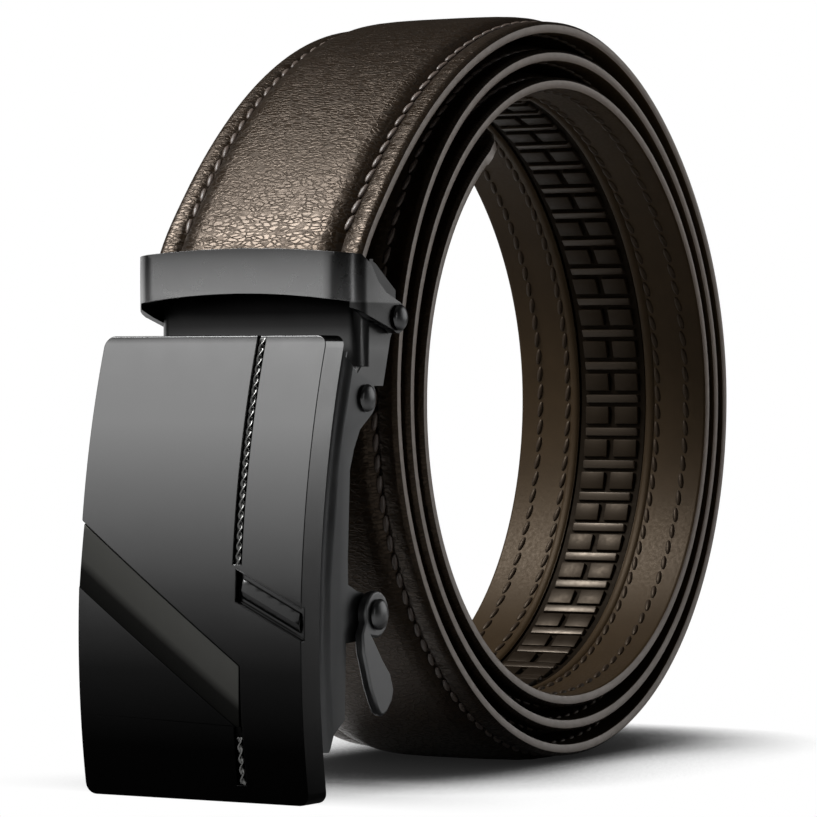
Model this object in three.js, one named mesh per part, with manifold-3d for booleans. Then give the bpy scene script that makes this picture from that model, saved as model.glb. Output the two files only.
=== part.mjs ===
// A leather ratchet belt, coiled into a ring that stands on its outer turn,
// with its automatic buckle hanging from the clip at the front.
// Lengths are in millimetres. X runs across the strap, -Y is the front and +Z is up.
// The origin is on the floor under the middle of the coil.
import * as THREE from 'three';
import { mergeVertices } from 'three/addons/utils/BufferGeometryUtils.js';
import Module from 'manifold-3d';

// Clearance between neighbouring pieces
const CLEARANCE = 0.3;

// Strap: padded leather with painted edges and a stitch groove near each edge
const STRAP_WIDTH = 35;
const STRAP_EDGE = 1.8; // thickness at the edges
const STRAP_CROWN = 3.05; // thickness in the padded middle
const EDGE_ROUND = 0.4;
const STITCH_INSET = 3.7; // from the edge to the middle of the stitch groove
const STITCH_GROOVE = 0.8;
const STITCH_DEPTH = 0.3;
const TAIL_CORNER = 10; // radius of the tail's corners

// Coil: travel is the angle turned from the clip end, over the top and inwards
const COIL_RADIUS = 59;
const COIL_TURNS = 3.144;
const START_ANGLE = 166; // where travel is 0, counted from the back over the top
const COIL_STEP = 8; // degrees between the strap's stations
const FIRST_TRAVEL = 12; // where the strap from the clip joins the ring
const CLIP_LEAD = 10; // how far the first turn stands off the ring at the clip
const CLIP_LEAD_TRAVEL = 70;
const FOOT_FLAT = 0.5; // how much the strap is pressed flat where it stands

// The ring is a little out of round: a row for each eighth of a turn, from the back over the top.
// radius is a share of COIL_RADIUS, and gap, the air between two turns, a share of STRAP_CROWN.
const RING_FORM = [
  { radius: 0.981, gap: 0.10 },
  { radius: 0.947, gap: 0.12 },
  { radius: 0.988, gap: 0.39 },
  { radius: 1.017, gap: 0.51 },
  { radius: 0.999, gap: 0.28 },
  { radius: 0.989, gap: 0.12 },
  { radius: 1.016, gap: 0.25 },
  { radius: 1.007, gap: 0.10 },
];

// Ratchet track, set into the strap's back
const TRACK_WIDTH = 12;
const TRACK_TAIL_MARGIN = 48; // degrees of travel between the track and the tail
const TRACK_SPAN = 280; // degrees of travel that the track covers
const TRACK_RECESS = 1.2;
const TRACK_BASE = 0.6;
const TOOTH_HEIGHT = 0.6;
const TOOTH_PITCH = 5.5;
const TOOTH_BAR = 1.5; // length of the bar across the track at each tooth
const TOOTH_BLOCK = 2.9; // length of the two blocks behind each bar
const TOOTH_SLOT = 1.6; // the slot between the blocks, and the margin beside them

// Buckle hinge, which the clip and the buckle share
const HINGE_STANDOFF = 7.3; // from the ring's radius to the hinge axis
const HINGE_SHAFT = 1.2;
const HINGE_EYE = 2.9;
const RIVET_HEAD = 2.0;
const RIVET_HEIGHT = 0.8;

// Clip channel and the clamp jaw around it
const CLIP_WALL = 1.1;
const CLIP_WIDTH = STRAP_WIDTH;
const CLIP_FRONT = 1.3; // the web's front face, behind the hinge axis
const CLIP_BEND = 14; // height above the hinge where the web leans back
const CLIP_TOP = 20;
const CLIP_FOOT = 3; // the web's lower edge, above the hinge
const CLIP_CORNER = 2.3; // radius of the bend between web and walls
const CLIP_GAP = 0.7; // between the strap's back and the web's top edge
const STRAP_END_BACK = 1.6; // the strap's cut end, behind and above the hinge
const STRAP_END_HEIGHT = 16.8;
const STRAP_END_LEAN = 16; // degrees
const JAW_WALL = 1.3;
const JAW_GAP = 0.7; // room for the strap between web and band, beyond STRAP_CROWN
const JAW_HEIGHT = 6.7;
const JAW_BOTTOM = 13.9; // the band's lower edge at its corners, above the hinge
const JAW_ARCH_BOTTOM = 1.9;
const JAW_ARCH_TOP = 1.0;
const JAW_CORNER = 4.2;
const JAW_INNER_CORNER = 2.5;
const JAW_PIN_BACK = 9.1; // the jaw pin, behind and above the hinge
const JAW_PIN_UP = 11.6;
const JAW_SHAFT = 0.9;
const JAW_EYE = 2.3;

// Buckle body and face plate
const BODY_WALL = 1.2;
const BODY_WEB = 1.2;
const BODY_CORNER = 2.4; // radius of the bend between web and walls
const BODY_TOP = 6.6; // above the hinge
const BODY_LENGTH = 50; // below the hinge
const BODY_REAR = 5; // the side walls' rear edge, in front of the hinge
const PLATE_INSET = 0.2; // from the body's side to the plate's
const PLATE_HEIGHT = 66;
const PLATE_ABOVE_HINGE = 8.9;
const PLATE_RIM = 5.1; // depth of the plate's edge
const PLATE_SKIN = 2.2;
const PLATE_CORNER = 1.6;
const PLATE_CURVE = 130; // radius of the arched face
const PLATE_REACH = 17.4; // the face's foremost line, in front of the hinge
const PLATE_APEX = 33.6; // and below it

// Relief on the face: x from the middle and z from the hinge
const RELIEF_DEPTH = 0.9;
const BAND_DEPTH = 0.5;
const BAR_DEPTH = 0.35;
const ROPE_X = 8;
const ROPE_GROOVE = 1.7;
const ROPE_WIDTH = 1.1;
const ROPE_HEIGHT = 0.6;
const WINDOW = { left: 7.9, top: -24, bottom: -28.6, fall: 5.4, inset: 0.9 };
const BAND = { right: 8.6, top: -37.6, bottom: -47, rise: 19.9 };
const ROPE_FOOT = -54.6;

// Release lever, its shaft and the pawl that it lifts
const LEVER_BACK = 0.3; // the shaft, behind and below the hinge
const LEVER_DROP = 30.9;
const LEVER_EYE = 3.4;
const LEVER_THICKNESS = 1.5;
const LEVER_LENGTH = 14.75;
const LEVER_SHAFT = 1.2;
const LEVER_HEAD = 2.25;
const LUG_RADIUS = 3;
const PAWL_WIDTH = 26;
const PAWL_EYE = 2.6;
const PAWL_REACH = 5.6;

const ROUND_SIDES = 24;
const FACE_STEPS = 14;

// Sizes that follow from the ones above
const HALF_STRAP = STRAP_WIDTH / 2;
const HALF_CLIP = CLIP_WIDTH / 2;
const JAW_INNER = HALF_CLIP + CLEARANCE;
const JAW_OUTER = JAW_INNER + JAW_WALL;
const BODY_INNER = HALF_CLIP + CLEARANCE;
const BODY_OUTER = BODY_INNER + BODY_WALL;
const HALF_PLATE = BODY_OUTER - PLATE_INSET;
const TAIL_TRAVEL = 360 * COIL_TURNS;
const TRACK_END = TAIL_TRAVEL - TRACK_TAIL_MARGIN;
const TRACK_START = TRACK_END - TRACK_SPAN;
const HINGE_Z = PLATE_HEIGHT - PLATE_ABOVE_HINGE;
const HINGE_Y = -(COIL_RADIUS + HINGE_STANDOFF);
const PLATE_FOOT = -HINGE_Z;
const FOOT_TRAVEL = START_ANGLE + 90;
const COIL_CENTRE = outerRadius(FOOT_TRAVEL) + STRAP_CROWN - STRAP_EDGE - FOOT_FLAT;
const JAW_FRONT = CLIP_FRONT - JAW_GAP - STRAP_CROWN - JAW_WALL;

const wasm = await Module();
wasm.setup();

const LEATHER = { color: 0x2e211b, roughness: 0.55, metalness: 0 };
const NYLON = { color: 0x1b120d, roughness: 0.5, metalness: 0 };
const GUNMETAL = { color: 0x2c2e30, roughness: 0.3, metalness: 0.9 };
const BLACK_FACE = { color: 0x1b1d1f, roughness: 0.15, metalness: 0.9 };
const STEEL = { color: 0x4c4e50, roughness: 0.35, metalness: 0.9 };

// Solids and meshes

function solid(geometry) {
  const bare = new THREE.BufferGeometry();
  bare.setAttribute('position', geometry.getAttribute('position'));
  if (geometry.index) bare.setIndex(geometry.index);
  const merged = mergeVertices(bare, 1e-4);
  const corners = [];
  for (let i = 0; i < merged.index.count; i += 3) {
    const [a, b, c] = [0, 1, 2].map((k) => merged.index.getX(i + k));
    if (a !== b && b !== c && c !== a) corners.push(a, b, c);
  }
  return new wasm.Manifold(new wasm.Mesh({
    numProp: 3,
    vertProperties: merged.getAttribute('position').array,
    triVerts: new Uint32Array(corners),
  }));
}

function join(solids) {
  return solids.reduce((whole, piece) => whole.add(piece));
}

function cut(body, cutters) {
  return cutters.reduce((rest, cutter) => rest.subtract(cutter), body);
}

function piece(name, body, finish) {
  const { vertProperties, triVerts } = body.getMesh();
  const geometry = new THREE.BufferGeometry();
  geometry.setAttribute('position', new THREE.BufferAttribute(vertProperties, 3));
  geometry.setIndex(new THREE.BufferAttribute(triVerts, 1));
  geometry.computeVertexNormals();
  const mesh = new THREE.Mesh(geometry, new THREE.MeshStandardMaterial(finish));
  mesh.name = name;
  return mesh;
}

// Extrusions of an outline, a list of [first, second] points, along one axis

function extrude(points, depth) {
  const shape = new THREE.Shape(points.map(([a, b]) => new THREE.Vector2(a, b)));
  return new THREE.ExtrudeGeometry(shape, { depth, bevelEnabled: false });
}

function alongX(points, from, to) { // points are [y, z]
  const turned = new THREE.Matrix4().makeBasis(
    new THREE.Vector3(0, 1, 0), new THREE.Vector3(0, 0, 1), new THREE.Vector3(1, 0, 0));
  return solid(extrude(points, to - from).applyMatrix4(turned).translate(from, 0, 0));
}

function alongY(points, from, to) { // points are [x, z]
  const turned = new THREE.Matrix4().makeBasis(
    new THREE.Vector3(0, 0, 1), new THREE.Vector3(1, 0, 0), new THREE.Vector3(0, 1, 0));
  const swapped = points.map(([x, z]) => [z, x]);
  return solid(extrude(swapped, to - from).applyMatrix4(turned).translate(0, from, 0));
}

function alongZ(points, from, to) { // points are [x, y]
  return solid(extrude(points, to - from).translate(0, 0, from));
}

function bothSides(points, inner, outer) {
  return join([alongX(points, inner, outer), alongX(points, -outer, -inner)]);
}

function arc(centre, radius, fromDegrees, toDegrees, steps = 8) {
  const points = [];
  for (let i = 0; i <= steps; i += 1) {
    const angle = THREE.MathUtils.degToRad(THREE.MathUtils.lerp(fromDegrees, toDegrees, i / steps));
    points.push([centre[0] + radius * Math.cos(angle), centre[1] + radius * Math.sin(angle)]);
  }
  return points;
}

function rod(radius, from, to, y = 0, z = 0) {
  const cylinder = new THREE.CylinderGeometry(radius, radius, to - from, ROUND_SIDES);
  return solid(cylinder.rotateZ(-Math.PI / 2).translate((from + to) / 2, y, z));
}

// A pin with a low domed head outside each wall
function rivet(shaft, head, leftWall, rightWall) {
  const left = leftWall - CLEARANCE;
  const right = rightWall + CLEARANCE;
  const profile = [
    [0, left - RIVET_HEIGHT], [0.7 * head, left - RIVET_HEIGHT], [head, left - RIVET_HEIGHT / 2],
    [head, left], [shaft, left], [shaft, right], [head, right],
    [head, right + RIVET_HEIGHT / 2], [0.7 * head, right + RIVET_HEIGHT], [0, right + RIVET_HEIGHT],
  ];
  const points = profile.map(([radius, along]) => new THREE.Vector2(radius, along));
  return solid(new THREE.LatheGeometry(points, ROUND_SIDES).rotateZ(-Math.PI / 2));
}

// Coil path

// A column of RING_FORM at any angle, on a smooth closed curve through its rows
function ringForm(angle, column) {
  const count = RING_FORM.length;
  const place = THREE.MathUtils.euclideanModulo(angle, 360) * count / 360;
  const row = Math.floor(place);
  const t = place - row;
  const [a, b, c, d] = [-1, 0, 1, 2].map((step) => RING_FORM[(row + step + count) % count][column]);
  return b + 0.5 * t * (c - a + t * (2 * a - 5 * b + 4 * c - d + t * (3 * (b - c) + d - a)));
}

// Radius of the strap's outer corner, which shrinks by one pitch in each turn
function outerRadius(travel) {
  const angle = START_ANGLE - travel;
  const pitch = STRAP_CROWN * (1 + ringForm(angle, 'gap'));
  const lead = CLIP_LEAD * Math.max(0, 1 - travel / CLIP_LEAD_TRAVEL) ** 3;
  return COIL_RADIUS * ringForm(angle, 'radius') - pitch * travel / 360 + lead;
}

// Point [y, z] on the strap's back
function coilPoint(travel) {
  const angle = THREE.MathUtils.degToRad(START_ANGLE - travel);
  const radius = outerRadius(travel) - STRAP_EDGE;
  return new THREE.Vector2(radius * Math.cos(angle), COIL_CENTRE + radius * Math.sin(angle));
}

function coilTangent(travel) {
  return coilPoint(travel + 0.5).sub(coilPoint(travel - 0.5)).normalize();
}

function coilStation(travel) {
  return { at: coilPoint(travel), along: coilTangent(travel), share: 1 };
}

// Angles of the stations between two travels, in step with every other turn
function travels(from, to, margin = 1) {
  const list = [from];
  const first = FIRST_TRAVEL + COIL_STEP * Math.ceil((from + margin - FIRST_TRAVEL) / COIL_STEP);
  for (let travel = first; travel < to - margin; travel += COIL_STEP) list.push(travel);
  list.push(to);
  return list;
}

// The strap's back from its cut end in the clip to where it joins the ring
function clipCurve() {
  const lean = THREE.MathUtils.degToRad(STRAP_END_LEAN);
  const start = new THREE.Vector2(HINGE_Y + STRAP_END_BACK, HINGE_Z + STRAP_END_HEIGHT);
  const end = coilPoint(FIRST_TRAVEL);
  const reach = start.distanceTo(end) / 3;
  return new THREE.CubicBezierCurve(
    start,
    start.clone().add(new THREE.Vector2(Math.sin(lean), Math.cos(lean)).multiplyScalar(reach)),
    end.clone().addScaledVector(coilTangent(FIRST_TRAVEL), -reach),
    end);
}

function clipStations() {
  const curve = clipCurve();
  return [0, 0.25, 0.5, 0.75].map((t) => ({ at: curve.getPoint(t), along: curve.getTangent(t), share: 1 }));
}

// How far behind the hinge the strap's back is at a height above it
function strapBack(height) {
  const points = clipCurve().getPoints(100);
  const above = points.find((point) => point.y >= HINGE_Z + height) ?? points.at(-1);
  return above.x - HINGE_Y;
}

// Stations of the rounded tail, where share narrows the strap
function tailStations() {
  const degreesPerMillimetre = THREE.MathUtils.radToDeg(1 / outerRadius(TAIL_TRAVEL));
  return [22.5, 45, 67.5, 90].map((degrees) => {
    const angle = THREE.MathUtils.degToRad(degrees);
    const beforeTip = TAIL_CORNER * (1 - Math.sin(angle));
    const half = HALF_STRAP - TAIL_CORNER * (1 - Math.cos(angle));
    return { ...coilStation(TAIL_TRAVEL - beforeTip * degreesPerMillimetre), share: half / HALF_STRAP };
  });
}

// A closed body through stations, of a section of [x, height] points that turns counter-clockwise
function loft(stations, section) {
  const rings = stations.map(({ at, along, share }) => section.map(([x, height]) => {
    const y = at.x - along.y * height;
    const z = at.y + along.x * height;
    return [x * share, y, z];
  }));
  const size = section.length;
  const last = (rings.length - 1) * size;
  const faces = [];
  for (let ring = 0; ring < rings.length - 1; ring += 1) {
    for (let i = 0; i < size; i += 1) {
      const [a, b] = [ring * size + i, ring * size + (i + 1) % size];
      faces.push(a, a + size, b + size, a, b + size, b);
    }
  }
  const contour = section.map(([x, height]) => new THREE.Vector2(x, height));
  for (const [a, b, c] of THREE.ShapeUtils.triangulateShape(contour, [])) {
    faces.push(a, b, c, last + c, last + b, last + a);
  }
  const geometry = new THREE.BufferGeometry();
  geometry.setAttribute('position', new THREE.Float32BufferAttribute(rings.flat(2), 3));
  geometry.setIndex(faces);
  return geometry;
}

// Strap and track

function strapSection() {
  const groove = HALF_STRAP - STITCH_INSET;
  const shoulder = groove - STITCH_GROOVE / 2;
  const pad = STRAP_CROWN - STRAP_EDGE;
  const right = [
    [HALF_STRAP - EDGE_ROUND, 0],
    [HALF_STRAP, EDGE_ROUND],
    [HALF_STRAP, STRAP_EDGE - EDGE_ROUND],
    [HALF_STRAP - EDGE_ROUND, STRAP_EDGE],
    [groove + STITCH_GROOVE / 2, STRAP_EDGE],
    [groove, STRAP_EDGE - STITCH_DEPTH],
    [shoulder, STRAP_EDGE],
    [0.92 * shoulder, STRAP_EDGE + 0.5 * pad],
    [0.78 * shoulder, STRAP_EDGE + 0.85 * pad],
  ];
  const left = right.map(([x, height]) => [-x, height]).reverse();
  return [...right, [0, STRAP_CROWN], ...left];
}

// The strap is pressed flat where it would reach below the floor
function pressFlat(geometry) {
  const position = geometry.getAttribute('position');
  for (let i = 0; i < position.count; i += 1) position.setZ(i, Math.max(0, position.getZ(i)));
  return geometry;
}

function band(halfWidth, low, high) {
  return [[-halfWidth, low], [halfWidth, low], [halfWidth, high], [-halfWidth, high]];
}

function strap() {
  const tail = tailStations();
  const tailLength = THREE.MathUtils.radToDeg(TAIL_CORNER / outerRadius(TAIL_TRAVEL));
  const ring = travels(FIRST_TRAVEL, TAIL_TRAVEL - tailLength, COIL_STEP / 4).map(coilStation);
  const stations = [...clipStations(), ...ring, ...tail];
  const body = solid(pressFlat(loft(stations, strapSection())));
  const recess = travels(TRACK_START, TRACK_END).map(coilStation);
  return body.subtract(solid(loft(recess, band(TRACK_WIDTH / 2 + CLEARANCE, -1, TRACK_RECESS))));
}

// A block that lies along the track on its base, seen from the middle of the coil
function trackBlock(travel, length, fromX, toX) {
  const { at, along } = coilStation(travel);
  const top = TRACK_RECESS - CLEARANCE - TRACK_BASE / 2;
  const height = TRACK_BASE / 2 + TOOTH_HEIGHT;
  const block = new THREE.BoxGeometry(toX - fromX, length, height);
  const out = new THREE.Vector3(0, -along.y, along.x);
  const forward = new THREE.Vector3(0, along.x, along.y);
  const frame = new THREE.Matrix4().makeBasis(forward.clone().cross(out), forward, out);
  const middle = new THREE.Vector3(0, at.x, at.y).addScaledVector(out, top - height / 2);
  // the frame's own X points to -X, so the block's place across the strap is set afterwards
  return solid(block.applyMatrix4(frame).translate((fromX + toX) / 2, middle.y, middle.z));
}

function ratchetTrack() {
  const margin = THREE.MathUtils.radToDeg(CLEARANCE / outerRadius(TRACK_END));
  const from = TRACK_START + margin;
  const to = TRACK_END - margin;
  const base = band(TRACK_WIDTH / 2, TRACK_RECESS - CLEARANCE - TRACK_BASE, TRACK_RECESS - CLEARANCE);
  const length = THREE.MathUtils.degToRad(to - from) * outerRadius((from + to) / 2);
  const teeth = Math.floor(length / TOOTH_PITCH);
  const step = (to - from) / teeth;
  const degrees = step / TOOTH_PITCH;
  const blocks = [];
  for (let tooth = 0; tooth < teeth; tooth += 1) {
    const start = from + step * tooth;
    const half = TRACK_WIDTH / 2;
    blocks.push(trackBlock(start + degrees * TOOTH_BAR / 2, TOOTH_BAR - 0.1, -half, half));
    const middle = start + degrees * (TOOTH_PITCH + TOOTH_BAR) / 2;
    const inner = TOOTH_SLOT / 2;
    const outer = half - TOOTH_SLOT / 2;
    blocks.push(
      trackBlock(middle, TOOTH_BLOCK, inner, outer), trackBlock(middle, TOOTH_BLOCK, -outer, -inner));
  }
  return join([solid(loft(travels(from, to).map(coilStation), base)), ...blocks]);
}

// Clip: y and z are counted from the hinge axis

// What a bend takes off a front corner, seen from above
function outerCorner(half, front, radius, side) {
  const points = [
    [half + 1, front - 1], [half + 1, front + radius],
    ...arc([half - radius, front + radius], radius, 0, -90, 4),
    [half - radius, front - 1],
  ];
  return side > 0 ? points : points.map(([x, y]) => [-x, y]).reverse();
}

function clipChannel() {
  const lip = strapBack(CLIP_TOP) + CLIP_GAP;
  const front = [[CLIP_FRONT, CLIP_FOOT], [CLIP_FRONT, CLIP_BEND], [lip, CLIP_TOP]];
  const web = alongX(
    [...front, ...front.map(([y, z]) => [y + CLIP_WALL, z]).reverse()], -HALF_CLIP, HALF_CLIP);
  const rear = JAW_PIN_BACK + JAW_EYE - CLEARANCE;
  const wall = [
    [CLIP_FRONT, CLIP_BEND],
    [CLIP_FRONT, CLIP_FOOT + 1.5],
    ...arc([0, 0], HINGE_EYE - CLEARANCE, 150, 330),
    [HINGE_EYE + 2.1, HINGE_SHAFT + 0.5],
    [JAW_PIN_BACK - 1.6, HINGE_SHAFT + 0.5],
    [JAW_PIN_BACK + 0.5, JAW_PIN_UP - JAW_EYE - 0.6],
    [rear, JAW_PIN_UP - 1],
    [rear, JAW_PIN_UP + 4],
    [lip + 1.7, CLIP_TOP - 0.6],
    [lip, CLIP_TOP],
  ];
  const bend = (side) => alongZ(
    outerCorner(HALF_CLIP, CLIP_FRONT, CLIP_CORNER, side), CLIP_FOOT + 1.5, CLIP_TOP + 1);
  return cut(join([web, bothSides(wall, HALF_CLIP - CLIP_WALL, HALF_CLIP)]), [
    bend(1), bend(-1),
    rod(HINGE_SHAFT + CLEARANCE, -HALF_CLIP - 1, HALF_CLIP + 1),
    rod(JAW_SHAFT + CLEARANCE, -HALF_CLIP - 1, HALF_CLIP + 1, JAW_PIN_BACK, JAW_PIN_UP),
  ]);
}

// A band across the strap's front, with an ear on each side that runs back to the jaw pin
function clampJaw() {
  const far = JAW_PIN_BACK + JAW_EYE + 1;
  const inner = JAW_INNER_CORNER;
  const back = JAW_FRONT + JAW_WALL;
  const plan = [
    [JAW_INNER, far],
    ...arc([JAW_INNER - inner, back + inner], inner, 0, -90, 4),
    ...arc([inner - JAW_INNER, back + inner], inner, -90, -180, 4),
    [-JAW_INNER, far], [-JAW_OUTER, far],
    ...arc([JAW_CORNER - JAW_OUTER, JAW_FRONT + JAW_CORNER], JAW_CORNER, 180, 270, 6),
    ...arc([JAW_OUTER - JAW_CORNER, JAW_FRONT + JAW_CORNER], JAW_CORNER, 270, 360, 6),
    [JAW_OUTER, far],
  ];
  const top = JAW_BOTTOM + JAW_HEIGHT;
  const side = [
    [JAW_FRONT - 1, JAW_BOTTOM],
    [0.6, JAW_PIN_UP + 0.2],
    ...arc([JAW_PIN_BACK, JAW_PIN_UP], JAW_EYE, -130, 70),
    [5.7, 15.2],
    [3.4, 16.8],
    [1.6, 19],
    [-1, top],
    [-1.5, top + JAW_ARCH_TOP],
    [JAW_FRONT - 1, top + JAW_ARCH_TOP],
  ];
  const arched = (half, low, rise, steps) => {
    const points = [];
    for (let i = 0; i <= steps; i += 1) {
      const x = half * (2 * i / steps - 1);
      points.push([x, low + rise * (1 - (x / half) ** 2)]);
    }
    return points;
  };
  const foot = JAW_PIN_UP - JAW_EYE - 1;
  const face = [
    [-JAW_OUTER, foot], [-JAW_INNER, foot],
    ...arched(JAW_INNER, JAW_BOTTOM, JAW_ARCH_BOTTOM, 12),
    [JAW_INNER, foot], [JAW_OUTER, foot],
    ...arched(JAW_OUTER, top, JAW_ARCH_TOP, 12).reverse(),
  ];
  return alongZ(plan, foot, top + 2)
    .intersect(alongX(side, -JAW_OUTER - 1, JAW_OUTER + 1))
    .intersect(alongY(face, JAW_FRONT - 1, far + 1))
    .subtract(rod(JAW_SHAFT + CLEARANCE, -JAW_OUTER - 1, JAW_OUTER + 1, JAW_PIN_BACK, JAW_PIN_UP));
}

// Buckle: y and z are counted from the hinge axis

// Points down the arched face, sunk by a depth
function faceLine(depth, top, bottom) {
  const radius = PLATE_CURVE - depth;
  const points = [];
  for (let i = 0; i <= FACE_STEPS; i += 1) {
    const z = THREE.MathUtils.lerp(top, bottom, i / FACE_STEPS);
    points.push([PLATE_CURVE - PLATE_REACH - Math.sqrt(radius ** 2 - (z + PLATE_APEX) ** 2), z]);
  }
  return points;
}

// A layer that follows the face between two depths
function faceLayer(outer, inner, top, bottom, halfWidth) {
  const outline = [...faceLine(outer, top, bottom), ...faceLine(inner, top, bottom).reverse()];
  return alongX(outline, -halfWidth, halfWidth);
}

function roundedPlate() {
  const [x, top, r] = [HALF_PLATE, PLATE_ABOVE_HINGE, PLATE_CORNER];
  return [
    ...arc([x - r, PLATE_FOOT + r], r, -90, 0, 4),
    ...arc([x - r, top - r], r, 0, 90, 4),
    ...arc([r - x, top - r], r, 90, 180, 4),
    ...arc([r - x, PLATE_FOOT + r], r, 180, 270, 4),
  ];
}

// What is cut out of the face, as outlines seen from the front
function relief() {
  const half = HALF_PLATE;
  const groove = (top, bottom) => [
    [ROPE_X - ROPE_GROOVE / 2, top], [ROPE_X - ROPE_GROOVE / 2, bottom],
    [ROPE_X + ROPE_GROOVE / 2, bottom], [ROPE_X + ROPE_GROOVE / 2, top],
  ];
  const { left, top, bottom, fall, inset } = WINDOW;
  return {
    grooves: [groove(PLATE_ABOVE_HINGE + 1, WINDOW.top - 1), groove(BAND.bottom + 1, ROPE_FOOT)],
    window: [[left, top], [left, bottom], [half + 1, bottom - fall], [half + 1, top - fall]],
    bar: [
      [left + inset, top - 2.1 * inset], [left + inset, bottom + inset],
      [half - inset, bottom - fall + 1.6 * inset], [half - inset, top - fall - inset],
    ],
    band: [
      [BAND.right, BAND.top], [-half - 1, BAND.top + BAND.rise],
      [-half - 1, BAND.bottom + BAND.rise], [BAND.right - 1.5, BAND.bottom], [BAND.right, BAND.bottom],
    ],
  };
}

function facePlate() {
  const slab = faceLayer(0, PLATE_RIM, PLATE_ABOVE_HINGE, PLATE_FOOT, HALF_PLATE);
  const pocket = faceLayer(
    PLATE_SKIN, PLATE_RIM + 1, PLATE_ABOVE_HINGE - 2 * PLATE_SKIN, PLATE_FOOT + 2 * PLATE_SKIN,
    HALF_PLATE - PLATE_SKIN);
  const { grooves, window, bar, band: diagonal } = relief();
  const pressed = (outline, depth) => alongY(outline, -PLATE_REACH - 2, 0)
    .intersect(faceLayer(-1, depth, PLATE_ABOVE_HINGE + 1, PLATE_FOOT - 1, HALF_PLATE + 1));
  const left = alongY(bar, -PLATE_REACH - 2, 0)
    .intersect(faceLayer(BAR_DEPTH, PLATE_RIM, PLATE_ABOVE_HINGE, PLATE_FOOT, HALF_PLATE));
  return cut(slab.intersect(alongY(roundedPlate(), -PLATE_REACH - 2, 0)), [
    pocket,
    ...grooves.map((outline) => pressed(outline, RELIEF_DEPTH)),
    pressed(window, RELIEF_DEPTH).subtract(left),
    pressed(diagonal, BAND_DEPTH),
  ]);
}

// A strip that lies in one of the face's upright grooves
function ropeTrim(top, bottom) {
  const deep = RELIEF_DEPTH - CLEARANCE;
  const strip = [...faceLine(deep - ROPE_HEIGHT, top, bottom), ...faceLine(deep, top, bottom).reverse()];
  return alongX(strip, ROPE_X - ROPE_WIDTH / 2, ROPE_X + ROPE_WIDTH / 2);
}

// What the bend takes off the body's front corner, down its arched edge
function bodyBend(behind, side) {
  const centre = new THREE.Vector2(PLATE_CURVE - PLATE_REACH, -PLATE_APEX);
  const stations = faceLine(behind, BODY_TOP + 1, -BODY_LENGTH - 1).reverse().map(([y, z]) => {
    const at = new THREE.Vector2(y, z);
    const out = at.clone().sub(centre).normalize();
    return { at, along: new THREE.Vector2(out.y, -out.x), share: 1 };
  });
  const section = outerCorner(BODY_OUTER, 0, BODY_CORNER, side).map(([x, depth]) => [x, -depth]);
  return solid(loft(stations, section.reverse()));
}

function buckleBody() {
  const behind = PLATE_RIM + CLEARANCE;
  const lug = [LEVER_BACK, -LEVER_DROP];
  const front = faceLine(behind, BODY_TOP, -BODY_LENGTH);
  const foot = front.at(-1)[0] + BODY_WEB;
  const wall = [
    ...front,
    [foot + 0.1, -BODY_LENGTH],
    [foot + 0.9, 2.5 - BODY_LENGTH],
    [-BODY_REAR - 0.8, 4.4 - BODY_LENGTH],
    [-BODY_REAR - 0.5, -LEVER_DROP - 3.9],
    [-2, -LEVER_DROP - 3.7],
    ...arc(lug, LUG_RADIUS, -80, 100),
    [-2.4, -LEVER_DROP + 3.4],
    [-BODY_REAR + 0.1, -LEVER_DROP + 4.4],
    [-BODY_REAR, -LEVER_DROP + 8],
    [-BODY_REAR + 0.6, -HINGE_EYE - 7.3],
    [-HINGE_EYE - 0.4, -HINGE_EYE - 4.4],
    [1.3 - HINGE_EYE, -HINGE_EYE - 1.6],
    ...arc([0, 0], HINGE_EYE, -50, 55),
    [0.2 - HINGE_EYE, HINGE_EYE + 0.8],
  ];
  const web = faceLayer(behind, behind + BODY_WEB, BODY_TOP, -BODY_LENGTH, BODY_INNER + BODY_WALL / 2);
  const shaft = rod(LEVER_SHAFT + CLEARANCE, -BODY_OUTER - 1, BODY_OUTER + 1, ...lug);
  return cut(join([web, bothSides(wall, BODY_INNER, BODY_OUTER)]), [
    rod(HINGE_SHAFT + CLEARANCE, -BODY_OUTER - 1, BODY_OUTER + 1), shaft,
    bodyBend(behind, 1), bodyBend(behind, -1),
  ]);
}

// Lever: y and z are counted from its shaft

// The arm's two edges, as shares of LEVER_LENGTH
const LEVER_ARM = [
  { y: -0.278, z: -0.19 }, { y: -0.258, z: -0.36 }, { y: -0.19, z: -0.53 }, { y: -0.13, z: -0.69 },
  { y: -0.04, z: -0.85 }, { y: 0.04, z: -0.96 }, { y: 0.11, z: -1 }, { y: 0.19, z: -0.96 },
  { y: 0.29, z: -0.86 }, { y: 0.325, z: -0.75 }, { y: 0.26, z: -0.59 }, { y: 0.1, z: -0.43 },
];

function releaseLever() {
  const arm = LEVER_ARM.map(({ y, z }) => [y * LEVER_LENGTH, z * LEVER_LENGTH]);
  const outline = [...arc([0, 0], LEVER_EYE, -110, 200, 14), ...arm];
  const inner = BODY_OUTER + CLEARANCE;
  return alongX(outline, inner, inner + LEVER_THICKNESS)
    .subtract(rod(LEVER_SHAFT + CLEARANCE, inner - 1, inner + LEVER_THICKNESS + 1));
}

function pawl() {
  const outline = [
    ...arc([0, 0], PAWL_EYE, -70, 150, 10),
    [-0.7 * PAWL_REACH, -0.1 * PAWL_REACH],
    [-PAWL_REACH, -0.5 * PAWL_REACH],
    [-0.8 * PAWL_REACH, -0.78 * PAWL_REACH],
  ];
  return alongX(outline, -PAWL_WIDTH / 2, PAWL_WIDTH / 2)
    .subtract(rod(LEVER_SHAFT + CLEARANCE, -PAWL_WIDTH, PAWL_WIDTH));
}

// Assembly

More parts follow.
